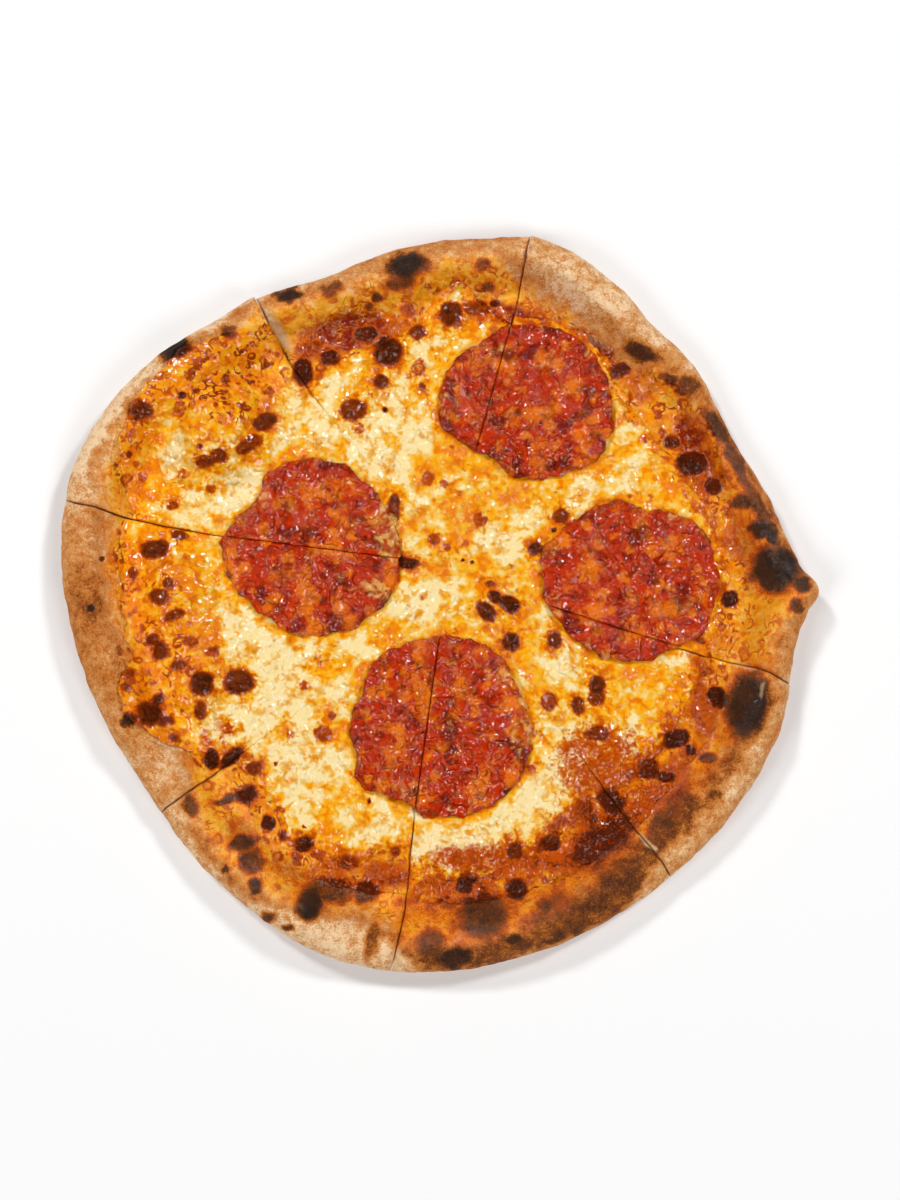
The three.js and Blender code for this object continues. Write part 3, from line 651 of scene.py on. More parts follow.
class SalamiSettings(PropertyGroup):
    """Sizes and colours of the spicy salami."""

    thickness: length("Thickness", "Thickness of a salami slice", 1.8)
    fold: length("Fold", "How far the folds at its edge rise and sink", 0.35)
    wave: length("Wave", "How far the rings round its middle rise and sink", 0.25)
    meat: colour("Meat", "Red of the meat", 196, 46, 1)
    deep: colour("Deep", "Darkest meat and the dried edge", 112, 18, 2)
    pink: colour("Pink", "Pink patches", 184, 62, 40)
    fat: colour("Fat", "Fat, orange with paprika", 240, 122, 12)
    veil: colour("Veil", "Cheese that ran over the edge", 240, 184, 92)
    stained: colour("Stained veil", "The same where meat and oil stained it", 176, 92, 22)
    # Painted highlights: warm curly threads in the salami's colour, where light would glint on wet
    # fat.
    painted_glint: colour("Glint", "Threads of oil and fat on the salami", 250, 164, 84)


class StageSettings(PropertyGroup):
    """Floor and light."""

    floor: colour("Floor", "Colour of the floor", 252, 252, 252)
    key_power: number("Key power", "Power of each small light, in watts", 10, 0, 1000)
    soft_power: number("Soft power", "Power of each big soft light, in watts", 7.4, 0, 1000)
    sky: number("Sky", "Strength of the light from all round", 0.07, 0, 10)


class PizzaSettings(PropertyGroup):
    """Everything that a user may change."""

    crust: PointerProperty(type=CrustSettings)
    sauce: PointerProperty(type=SauceSettings)
    cheese: PointerProperty(type=CheeseSettings)
    salami: PointerProperty(type=SalamiSettings)
    stage: PointerProperty(type=StageSettings)
    spacing: length("Spacing", "Distance between the points of a surface", 0.78)
    seed: IntProperty(name="Seed", description="Start of the random patterns", default=7)


def settings():
    return bpy.context.scene.pizza


# --- Form shared by the layers ---

outline_at = ring(OUTLINE)
flour_width_at = ring(FLOUR_WIDTH)
flour_bake_at = ring(FLOUR_BAKE)
rim_bake_at = ring(RIM_BAKE)
oil_start_at = ring(OIL_START)
brim_width_at = ring(BRIM_WIDTH)


def from_centre(direction, distance):
    """Place on the floor of a direction and distance from the meeting point of the cuts."""
    turn = np.radians(direction)
    return CUT_CENTRE[0] + distance * np.cos(turn), CUT_CENTRE[1] + distance * np.sin(turn)


def rim_profile(inward, height, width):
    """Height of the rim alone, by the distance in from its outer edge."""
    crust = settings().crust
    base = crust.base / MM
    ridge = crust.ridge_share * width
    edge = crust.edge_share * height
    near = np.clip(1 - inward / ridge, 0, 1)
    outer = edge + (height - edge) * np.sqrt(1 - near**2)
    fall = np.clip((inward - ridge) / (width - ridge), 0, 1)
    inner = base + (height - base) * (0.5 + 0.5 * np.cos(np.pi * fall))
    return np.where(inward < ridge, outer, inner)


def underside(inward, height):
    """Height of the rounded underside of the rim."""
    crust = settings().crust
    near = np.clip(1 - inward / (crust.undercut / MM), 0, 1)
    return crust.edge_share * height * (1 - np.sqrt(1 - near**2))


def knife_cut(name):
    """Direction of a cut by distance. The blade wandered a little."""
    smooth_cut = curve(CUTS[name])
    seed = 50 + sorted(CUTS).index(name)

    def read(distance):
        aside = 0.4 * rough(np.asarray(distance, float), np.full(np.shape(distance), 0.5), 9, seed)
        return smooth_cut(distance) + np.degrees(aside * smooth(5, 20, distance) / (distance + 5))

    return read


class Slice:
    """The curves of one slice, and the places on it."""

    def __init__(self, number, description):
        self.number = number
        self.cuts = description["cuts"]
        self.first, self.last = (knife_cut(name) for name in self.cuts)
        self.turn = 360 if self.last(0) < self.first(0) else 0
        self.rim_height = curve(description["rim_height"])
        self.rim_width = curve(description["rim_width"])
        self.cheese_curve = curve(description["cheese_edge"])
        self.sauce_curve = curve(description["sauce_edge"])
        self.bubbles = description["bubbles"]
        self.middle = float(self.direction(0.5, 0))
        self.half_angle = float(self.direction(1, 0) - self.direction(0, 0)) / 2

    def direction(self, share, distance):
        """Direction of the point a share of the way from the first cut to the last."""
        start = self.first(distance)
        return start + (self.last(distance) + self.turn - start) * share

    def headings(self):
        """Directions spread evenly over the slice."""
        return self.heading(np.linspace(0, 1, 60))

    def heading(self, share):
        """Direction in which a column of points reaches the outer edge."""
        return self.direction(share, outline_at(self.direction(share, 0)))

    def gap(self, share, distance, gaps):
        """Width of the gap beside a point, from those of the slice's two cuts."""
        before, after = (curve(gaps[name])(distance) for name in self.cuts)
        return mixed(before, after, share)

    def place(self, share, distance, gaps):
        """Place on the floor, moved out along the slice's middle line for the cuts' gaps."""
        gap = self.gap(share, distance, gaps)
        shift = gap / 2 / math.sin(math.radians(self.half_angle))
        x, y = from_centre(self.direction(share, distance), distance)
        middle = math.radians(self.middle)
        return x + shift * math.cos(middle), y + shift * math.sin(middle)

    def bubble_height(self, direction, distance, inward):
        height = 0
        for heading, middle, across, along, rise in self.bubbles:
            aside = np.radians(direction - heading) * middle
            reach = (aside / across) ** 2 + ((distance - middle) / along) ** 2
            height = height + rise * np.clip(1 - reach, 0, 1) ** 2
        return height * np.clip(inward / (settings().crust.undercut / MM), 0, 1)

    def dough_top(self, heading, direction, distance, edge):
        inward = np.maximum(edge - distance, 0)
        rim = rim_profile(inward, self.rim_height(heading), self.rim_width(heading))
        return rim + self.bubble_height(direction, distance, inward)

    def ragged(self, distance, heading, amount, seed):
        """A layer's edge with lobes and small teeth."""
        x, y = from_centre(heading, distance)
        return distance + amount * rough(x, y, 11, seed, 4)

    def cheese_edge(self, heading):
        return self.ragged(self.cheese_curve(heading), heading, 1.9, 21)

    def sauce_edge(self, heading):
        smooth_edge = np.maximum(self.sauce_curve(heading), self.cheese_curve(heading) + 1.5)
        ragged = self.ragged(smooth_edge, heading, 1.6, 31)
        return np.maximum(ragged, self.cheese_edge(heading) + 0.8)

    def outer_edge(self, heading):
        return self.ragged(outline_at(heading), heading, 0.45, 41)

    def cheese_level(self, x, y):
        """Level of the cheese over places on the floor, as if the slice went on past its sides."""
        across, up = x - CUT_CENTRE[0], y - CUT_CENTRE[1]
        distance = np.hypot(across, up)
        turned = np.degrees(np.arctan2(up, across))
        direction = turned + 360 * np.round((self.middle - turned) / 360)
        top = self.dough_top(direction, direction, distance, outline_at(direction))
        return top + layer_heights()["cheese_top"]


def held(top):
    """Keeps the tallest bubble about as tall as in the solids."""
    limit = CAD_BOX[1][2] / MM - 0.8
    return top - 0.8 * np.maximum(top - limit, 0)


def layer_heights():
    """How far over the dough each layer begins and ends."""
    pizza = settings()
    clear = pizza.sauce.clearance / MM
    sauce_top = clear + pizza.sauce.thickness / MM
    return {
        "sauce_bottom": LIFT,
        "sauce_top": sauce_top,
        "cheese_bottom": sauce_top + LIFT,
        "cheese_top": sauce_top + clear + pizza.cheese.thickness / MM,
    }


def salami_share(key, x, y):
    """Distance from the middle of a salami slice, as a share of its radius in that direction."""
    (x0, y0), radius_at = salami_outline(key)
    angle = np.degrees(np.arctan2(y - y0, x - x0))
    return np.hypot(x - x0, y - y0) / radius_at(angle)


def nearest_salami(x, y):
    return np.min([salami_share(name, x, y) for name in SALAMI_ROUNDS], axis=0)


# --- Marks that fall on every layer ---


class Marks:
    """What the oven did to each point of a surface at level z."""

    def __init__(self, x, y, z):
        self.at = photo_place(x, y, z)
        loose = wandering(self.at, x, y, 4.0)
        tight = wandering(self.at, x, y, 1.4)
        self.charred = cover(CHARRED, wandering(self.at, x, y, 3.0), 0.48)
        self.blister = cover(BLISTERS, tight, 0.32, wider=1)
        self.halo = cover(BLISTERS, loose, 0.6, wider=7)
        self.red = cover(SAUCY, loose, 0.4)
        self.crumb = cover(CRUMBS, tight, 0.25)
        self.dome = domes(BLISTERS, tight)
        self.speck = cover(SPECKS, self.at, 0.25)
        self.creamy = cover(CREAMY, loose, 0.6)
        self.oily = cover(OILY, loose, 0.6)
        self.wrinkled = cover(WRINKLED, loose, 0.5)

    def burnt(self, bake):
        """The bake of a surface with the marks on it."""
        for mask in (self.charred, self.blister, self.speck):
            bake = np.maximum(bake, mask)
        return bake


def skin(x, y, strength):
    """The bake and the rise of fine wrinkles and little blisters where a skin is strong."""
    moved = x + 1.3 * waves(x, y, 3.2, 343), y + 1.3 * waves(x, y, 3.2, 345)
    big = pebbles(*moved, 7.5, 341, 0.55)
    little = pebbles(*moved, 3.6, 347, 0.6)
    folds = smooth(0.35, 0.95, creases(*moved, 8, 331)) * smooth(-0.3, 0.5, rough(x, y, 12, 333))
    edges = smooth(0, 0.25, big) * (1 - 0.35 * smooth(0.35, 0.9, big))
    bake = np.maximum(0.66 * edges, 0.5 * smooth(0, 0.4, little))
    bake = np.maximum(bake * smooth(-0.7, 0.5, rough(x, y, 10, 349)), 0.62 * folds)
    rise = 0.9 * smooth(0, 0.8, big) + 0.35 * smooth(0, 0.7, little) - 0.6 * folds
    return bake * strength, rise * strength


# --- Meshes ---


def flat_grid(columns, rows, size):
    """A flat square grid of points round the origin, from -size to size."""
    shape = bmesh.new()
    bmesh.ops.create_grid(shape, x_segments=columns, y_segments=rows, size=size)
    return shape


class Sheet:
    """The points of a flat shape that was thickened to a closed block. Those that lie over each
    other have one place on the sheet, and their levels, 0 below and 1 above, tell them apart."""

    def __init__(self, name, shape, wall_cuts):
        above = bmesh.ops.extrude_face_region(shape, geom=shape.faces[:])
        lifted = [part for part in above["geom"] if isinstance(part, bmesh.types.BMVert)]
        bmesh.ops.translate(shape, verts=lifted, vec=(0, 0, 1))
        upright = [edge for edge in shape.edges if edge.verts[0].co.z != edge.verts[1].co.z]
        bmesh.ops.subdivide_edges(shape, edges=upright, cuts=wall_cuts)
        self.mesh = mesh = bpy.data.meshes.new(name)
        shape.to_mesh(mesh)
        shape.free()
        flat = np.empty(len(mesh.vertices) * 3)
        mesh.vertices.foreach_get("co", flat)
        x, y, self.level = flat.reshape(-1, 3).T
        whole = np.round(x * 2e4).astype(np.int64) * 10**8 + np.round(y * 2e4).astype(np.int64)
        _, first, self.place_of = np.unique(whole, return_index=True, return_inverse=True)
        self.x, self.y = x[first], y[first]

    def over(self, values):
        """Values of places, for the points."""
        return values[self.place_of] if np.shape(values) == self.x.shape else values

    def between(self, bottom, top):
        """Heights of the points, from those of the bottom and top at each place."""
        return self.over(bottom) + (self.over(top) - self.over(bottom)) * self.level


def finish_piece(sheet, places, attributes, material, node):
    """Puts the points in place, welds those that meet, and hands the piece to the frame."""
    mesh = sheet.mesh
    places = np.stack([sheet.over(values) for values in places], 1)
    mesh.vertices.foreach_set("co", (places * MM).astype(np.float32).ravel())
    for label, values in attributes.items():
        layer = mesh.attributes.new(label, "FLOAT", "POINT")
        layer.data.foreach_set("value", np.clip(sheet.over(values), 0, 1).astype(np.float32))
    welded = bmesh.new()
    welded.from_mesh(mesh)
    bmesh.ops.remove_doubles(welded, verts=welded.verts, dist=0.0004 * MM)
    bmesh.ops.recalc_face_normals(welded, faces=welded.faces)
    if welded.calc_volume(signed=True) < 0:
        bmesh.ops.reverse_faces(welded, faces=welded.faces)
    for face in welded.faces:
        face.smooth = True
    welded.to_mesh(mesh)
    welded.free()
    piece = bpy.data.objects.new(mesh.name, mesh)
    bpy.context.scene.collection.objects.link(piece)
    mesh.materials.append(material)
    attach(piece, "root")
    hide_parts(node)


def slice_sheet(name, piece_of, rows, distance, wall_cuts):
    """A sheet for a slice. Its x runs from 0 at the first cut to 1 at the last, with columns
    that stand the usual spacing apart at that distance, and its y from 0 at the middle to 1."""
    arc = math.radians(2 * piece_of.half_angle) * distance
    shape = flat_grid(round(arc * MM / settings().spacing), rows, 0.5)
    bmesh.ops.translate(shape, verts=shape.verts, vec=(0.5, 0.5, 0))
    return Sheet(f"{name}_{piece_of.number}", shape, wall_cuts)


def rows_over(widths, widened=1.0):
    """How many rows of points fit the widest of these, if it is widened by that factor."""
    return float(widths.max()) * widened / (settings().spacing / MM)


def split_rows(share, hidden_share, start, end, bent):
    """Distances of the rows: wide apart up to start, then close together up to end. Bent rows
    lie closest at the end."""
    first = np.clip(share / hidden_share, 0, 1)
    second = np.clip((share - hidden_share) / (1 - hidden_share), 0, 1)
    eased = np.sin(second * np.pi / 2) if bent else second
    return np.where(share <= hidden_share, start * first, start + (end - start) * eased)


def beside_cut(piece_of, share, distance):
    """How far each point is from the nearer cut of its slice."""
    across = np.radians(2 * piece_of.half_angle) * distance
    return np.minimum(share, 1 - share) * across


# --- Crust ---


def crust_relief(x, y):
    lumps = settings().crust.lumps / MM
    seed = settings().seed
    broad = lumps * waves(x, y, 17, seed + 1) + 0.5 * lumps * waves(x, y, 7.5, seed + 2)
    fine = 0.2 * lumps * waves(x, y, 3.4, seed + 3) + 0.1 * lumps * waves(x, y, 1.8, seed + 4)
    return broad + fine + 0.35 * pebbles(x, y, 5, seed + 5, 0.5)


def oily_ring(heading, inward, x, y):
    """How far the oil from the toppings soaked the dough, by the distance in from its edge."""
    start = oil_start_at(heading)
    return smooth(start - 5, start + 5, inward + 3 * rough(x, y, 9, 91, 4))


def zone_bake(heading, x, y):
    """How baked the oily ring is, on whatever layer shows there."""
    bake = 1.7 * (rim_bake_at(heading) - 0.4) + 0.3 * rough(x, y, 9, 71, 5)
    return np.clip(bake, 0.03, 1)


def crust_look(heading, inward, x, y):
    """How baked and how oily the dough is, where it is open or lies under thin sauce."""
    flour = flour_width_at(heading)
    floury = 1 - smooth(flour - 3, flour + 2, inward + 3 * rough(x, y, 10, 61, 4))
    bake = rim_bake_at(heading) + 0.16 * rough(x, y, 9, 71, 5)
    pale = flour_bake_at(heading) + 0.12 * rough(x, y, 13, 81, 5)
    oil = oily_ring(heading, inward, x, y) * (1 - floury)
    return mixed(mixed(bake, pale, floury), zone_bake(heading, x, y), oil), oil


def make_crust(piece_of, material):
    base_rows = 34
    covered = 5  # how far the fine rows reach in under the sauce
    headings = piece_of.headings()
    rim = outline_at(headings) - piece_of.sauce_curve(headings) + covered
    rows = round(base_rows + rows_over(rim, 1.45))
    sheet = slice_sheet("crust", piece_of, rows, distance=150, wall_cuts=9)
    share = sheet.x
    heading = piece_of.heading(share)
    edge = piece_of.outer_edge(heading)
    sauce_edge = piece_of.sauce_edge(heading)
    distance = split_rows(sheet.y, base_rows / rows, sauce_edge - covered, edge, True)
    direction = piece_of.direction(share, distance)
    inward = np.maximum(edge - distance, 0)
    x, y = piece_of.place(share, distance, CRUST_GAPS)
    top = piece_of.dough_top(heading, direction, distance, edge)
    bottom = underside(inward, piece_of.rim_height(heading))
    marks = Marks(x, y, top)

    bake, oil = crust_look(heading, inward, x, y)
    skinned = np.maximum(0.6 * oil, marks.wrinkled)
    skin_bake, skin_rise = skin(x, y, skinned)
    bake = marks.burnt(np.maximum(bake, 0.4 * skin_bake))
    red = marks.red * smooth(0, 0.5, oil)

    open_dough = smooth(0, 2.5, distance - sauce_edge)
    raised = crust_relief(x, y) + 0.8 * marks.dome + skin_rise
    raised = raised + marks.charred * 0.7 * rough(x, y, 3.2, 121) - 0.5 * marks.speck
    rounding = 0.9 * np.exp(-beside_cut(piece_of, share, distance) / 0.7)
    top = held(top + (raised - rounding) * open_dough * smooth(0, 5, inward))
    z = sheet.between(bottom, top)

    # Air holes in the crumb of the cut faces, where the dough is thick enough to have them.
    share, distance = sheet.over(share), sheet.over(distance)
    face = (sheet.level > 0) & (sheet.level < 1) & ((share == 0) | (share == 1))
    thick = smooth(4, 9, sheet.over(top - bottom))
    holes = pebbles(distance, z, 3.2, 131 + piece_of.number, 0.6)
    depth = 0.2 + 0.25 * rough(distance, z, 2.4, 141) + 1.1 * holes * thick
    depth = depth * smooth(0, 4, distance) * smooth(0, 2, sheet.over(inward))
    side = np.where(share < 0.5, 1, -1) * np.where(face, np.maximum(depth, 0), 0)
    turn = np.radians(sheet.over(direction))
    x, y = sheet.over(x) - side * np.sin(turn), sheet.over(y) + side * np.cos(turn)

    # What shows on top goes on a little way under the rounded edge.
    low = bottom / underside(0, piece_of.rim_height(heading))
    under = np.where(sheet.level == 0, sheet.over(smooth(0.97, 0.5, low)), 0)
    below = 0.3 + 0.35 * smooth(0.1, 0.8, rough(x, y, 12, 111)) + 0.1 * rough(x, y, 3, 115)
    above = (1 - under) * (1 - face)
    look = {
        "bake": mixed(sheet.over(bake), below, under),
        "oil": above * sheet.over(oil),
        "red": above * sheet.over(red),
        "skin": above * sheet.over(skinned),
        "bare": np.maximum(above * sheet.over(marks.crumb), face),
    }
    finish_piece(sheet, (x, y, z), look, material, f"slice_{piece_of.number}_dough")


# --- Sauce ---


def make_sauce(piece_of, material):
    base_rows = 46
    covered = 6  # how far the fine rows reach in under the cheese
    headings = piece_of.headings()
    open_width = piece_of.sauce_curve(headings) - piece_of.cheese_curve(headings)
    rows = round(base_rows + rows_over(open_width + covered))
    sheet = slice_sheet("sauce", piece_of, rows, distance=130, wall_cuts=2)
    share = sheet.x
    heading = piece_of.heading(share)
    edge = piece_of.sauce_edge(heading)
    cheese_edge = piece_of.cheese_edge(heading)
    distance = split_rows(sheet.y, base_rows / rows, cheese_edge - covered, edge, False)
    direction = piece_of.direction(share, distance)
    x, y = piece_of.place(share, distance, CRUST_GAPS)
    outer_edge = piece_of.outer_edge(heading)
    dough = piece_of.dough_top(heading, direction, distance, outer_edge)
    heights = layer_heights()
    marks = Marks(x, y, dough + heights["sauce_top"])
    seed = settings().seed
    shown = smooth(-1, 2, distance - cheese_edge)
    lip = settings().sauce.lip / MM
    thickness = mixed(lip, heights["sauce_top"], smooth(0, 9, edge - distance))
    skinned = 0.75 * (1 - 0.6 * marks.red)
    skin_bake, skin_rise = skin(x, y, skinned)
    lumps = 0.35 * rough(x, y, 4.5, seed + 201, 3) * smooth(0, 3, edge - distance)
    raised = lumps + (0.7 * skin_rise + marks.dome + 0.5 * marks.charred) * smooth(
        0, 2.5, edge - distance
    )
    raised = raised * shown
    rounding = 0.5 * np.exp(-beside_cut(piece_of, share, distance) / 0.6) * shown
    bottom = dough + heights["sauce_bottom"]
    top = held(bottom + np.maximum(thickness + raised - rounding, 0.12) - LIFT)
    bottom = np.minimum(bottom, top - 0.07)
    bake, soaked = crust_look(heading, np.maximum(outer_edge - distance, 0), x, y)
    look = {
        "bake": marks.burnt(np.maximum(bake, 0.4 * skin_bake)),
        "dry": 1 - soaked,
        "skin": skinned * soaked,
        "oil": 0.85 + 0.25 * rough(x, y, 6, 221, 4) - 0.65 * marks.red,
        "red": marks.red,
    }
    places = (x, y, sheet.between(bottom, top))
    finish_piece(sheet, places, look, material, f"slice_{piece_of.number}_sauce")


# --- Cheese ---


def make_cheese(piece_of, material):
    rows = round(rows_over(piece_of.cheese_curve(piece_of.headings())))
    sheet = slice_sheet("cheese", piece_of, rows, distance=118, wall_cuts=3)
    share = sheet.x
    heading = piece_of.heading(share)
    edge = piece_of.cheese_edge(heading)
    distance = edge * sheet.y * (1.12 - 0.12 * sheet.y)
    direction = piece_of.direction(share, distance)
    x, y = piece_of.place(share, distance, CHEESE_GAPS)
    dough = piece_of.dough_top(heading, direction, distance, piece_of.outer_edge(heading))
    heights = layer_heights()
    marks = Marks(x, y, dough + heights["cheese_top"])
    seed = settings().seed
    inside = edge - distance
    salami = nearest_salami(x, y)
    open_cheese = smooth(1.0, 1.05, salami)
    bared = smooth(0.9, 0.97, salami)

    # Thick pale patches, and thin places between them that the oil filled.
    patches = 0.8 * rough(x, y, 13, seed + 301, 3) + 1.0 * marks.creamy - 1.1 * marks.oily
    thin = smooth(0.5, -0.8, patches)
    brim = smooth(brim_width_at(heading), 0, inside + 5 * rough(x, y, 8, 311, 4))
    near_salami = 0.5 * smooth(1.16, 1.0, salami + 0.1 * rough(x, y, 7, 313))
    oil = joined(0.85 * thin, 0.9 * brim, near_salami)
    oil = oil + 0.2 * rough(x, y, 4, 315, 3)

    skinned = np.maximum(0.7 * brim, marks.wrinkled)
    skin_bake, skin_rise = skin(x, y, skinned)
    moved = x + 1.2 * waves(x, y, 3, 361), y + 1.2 * waves(x, y, 3, 363)
    small = pebbles(*moved, 6, 365, 0.5) * smooth(0.0, 0.7, rough(x, y, 18, 367))
    relief = settings().cheese.relief / MM
    lumps = relief * (0.9 * rough(x, y, 7, seed + 321, 4) - 0.7 * thin)
    lumps = lumps + 0.3 * pebbles(x, y, 3.4, seed + 325, 0.5) * (1 - 0.5 * thin)
    lumps = lumps + skin_rise + 0.5 * small
    bead = 0.5 * np.exp(-(((salami - 1.05) / 0.035) ** 2)) * smooth(-0.5, 0.5, rough(x, y, 9, 349))
    raised = (lumps + marks.dome) * open_cheese + bead - 0.25 * (1 - open_cheese)
    cut = beside_cut(piece_of, share, distance)
    parted = smooth(0.05, 0.4, piece_of.gap(share, distance, CHEESE_GAPS))
    rounding = (0.06 + 0.6 * parted) * np.exp(-cut / 0.8)
    lip = smooth(0, 6, inside) ** 0.6
    full = heights["cheese_top"] - heights["cheese_bottom"]
    bottom = dough + heights["cheese_bottom"]
    top = held(bottom + np.maximum((full + raised - rounding) * lip, 0.15))
    bottom = np.minimum(bottom, top - 0.15)

    bake = joined(zone_bake(heading, x, y) * brim, 0.36 * marks.halo)
    bake = np.maximum(bake, np.maximum(0.45 * skin_bake, 0.3 * smooth(0.1, 0.7, small)))
    look = {
        "bake": mixed(0.5, marks.burnt(bake), bared),
        "skin": skinned * open_cheese,
        "oil": joined(np.clip(oil, 0, 1), 0.8 * marks.halo),
        "red": mixed(1, marks.red * smooth(-0.5, 0.4, rough(x, y, 6, 355, 4)), bared),
    }
    places = (x, y, sheet.between(bottom, top))
    finish_piece(sheet, places, look, material, f"slice_{piece_of.number}_cheese")


# --- Salami ---


def round_to_disc(across, up):
    """Moves the points of a square, -1 to 1, onto a disc without squeezing them."""
    wide = np.abs(across) > np.abs(up)
    radius = np.where(wide, across, up)
    other = np.where(wide, up, across)
    safe = np.where(radius == 0, 1, radius)
    angle = np.where(wide, np.pi / 4 * other / safe, np.pi / 2 - np.pi / 4 * other / safe)
    return radius * np.cos(angle), radius * np.sin(angle)


def salami_outline(key):
    """Where the middle of a salami slice lies, and its radius by direction."""
    description = SALAMI_ROUNDS[key]
    step = 360 / len(description["radii"])
    radii = ring([(i * step, radius) for i, radius in enumerate(description["radii"])])
    return from_centre(*description["middle"]), radii


def salami_shape(key, part):
    """Half of a salami slice, flat: a grid rounded to its outline and cut along the knife's
    line. Returns it with a point of the cut and the way that leads out of it."""
    widest = 76  # across a whole salami slice
    cut_reach = 35  # how far the knife's line is followed each way from its middle
    (x0, y0), radius_at = salami_outline(key)
    segments = round(widest * MM / (0.85 * settings().spacing))
    shape = flat_grid(segments, segments, 1)
    square = np.array([vertex.co.xy for vertex in shape.verts]).T
    across, up = round_to_disc(*square)
    place = x0 + SALAMI_RADIUS * across, y0 + SALAMI_RADIUS * up
    scallop = rough(*place, 9, 501, 4) * np.hypot(across, up)
    radius = radius_at(np.degrees(np.arctan2(up, across))) + 1.7 * scallop
    for vertex, x, y in zip(shape.verts, x0 + across * radius, y0 + up * radius):
        vertex.co.x, vertex.co.y = x, y
    description = SALAMI_ROUNDS[key]
    distances = [description["middle"][1] + side for side in (-cut_reach, cut_reach)]
    start, end = (
        Vector((*from_centre(curve(CUTS[description["cut"]])(distance), distance), 0))
        for distance in distances
    )
    along = (end - start).normalized()
    out = Vector((along.y, -along.x, 0)) * (1 if part else -1)
    edge = start - out * (SALAMI_GAP / 2)
    bmesh.ops.bisect_plane(
        shape, geom=shape.verts[:] + shape.edges[:] + shape.faces[:], dist=0.001,
        plane_co=edge, plane_no=out, clear_outer=True,
    )
    return shape, edge, out


def make_salami(piece_of, key, part, material):
    number = sorted(SALAMI_ROUNDS).index(key)
    shape, edge, out = salami_shape(key, part)
    sheet = Sheet(f"salami_{key}_{piece_of.number}", shape, wall_cuts=2)
    x, y = sheet.x, sheet.y
    salami = settings().salami
    x0, y0 = salami_outline(key)[0]
    share = salami_share(key, x, y)
    angle = np.arctan2(y - y0, x - x0)
    turn = 1 + 2 * number
    folds = np.sin(3 * angle + turn) + 0.7 * np.sin(5 * angle - 2 * turn)
    bend = salami.fold / MM * folds * share + salami.wave / MM * np.sin(9 * share + turn)
    thickness = salami.thickness / MM
    base = piece_of.cheese_level(x, y)
    seed = 600 + 40 * number

    moved = x + 1.6 * waves(x, y, 4, seed + 27), y + 1.6 * waves(x, y, 4, seed + 28)
    grains = pebbles(*moved, 8, seed + 6, 0.5)
    orange = smooth(-0.3, 0.9, rough(x, y, 12, seed + 9, 5))
    margin = (1 - share) * SALAMI_RADIUS
    dried_edge = smooth(2.4, 0.1, margin + 1.4 * rough(x, y, 5, seed + 12))
    veil = cover(VEILS, wandering(photo_place(x, y, base + thickness), x, y, 6.0), 0.5)
    look = {
        "fat": joined(0.9 * orange, 0.8 * smooth(0.1, 0.8, grains)),
        "pink": smooth(0.0, 0.7, rough(x, y, 12, seed + 3, 5)),
        "veil": veil,
        "deep": joined(0.3 * dried_edge, 0.9 * smooth(-0.1, 0.9, rough(x, y, 10, seed, 4))),
    }
    relief = 1.0 * rough(x, y, 7, seed + 15, 3) + 0.35 * smooth(0, 0.6, grains)
    relief = relief + 0.15 * waves(x, y, 1.9, seed + 18) + 0.2 * rough(x, y, 3.4, seed + 21, 2)
    curl = 0.55 * np.exp(-(((margin - 1.6) / 1.5) ** 2)) * (0.6 + 0.6 * np.sin(2 * angle + turn))
    rounded = 1 - np.sqrt(1 - np.clip(1 - margin / 1.1, 0, 1) ** 2)
    from_cut = -((x - edge.x) * out.x + (y - edge.y) * out.y)
    cut_edge = np.clip(1 - from_cut / 0.6, 0, 1) ** 2
    top = thickness + bend + relief + curl - 0.8 * thickness * rounded - 0.35 * cut_edge
    bottom = base + LIFT + 0.5 * rounded
    top = np.maximum(base + top, bottom + 0.3)
    places = (x, y, sheet.between(bottom, top))
    node = f"slice_{piece_of.number}_salami_{key}"
    finish_piece(sheet, places, look, material, node)


# --- Finishes ---


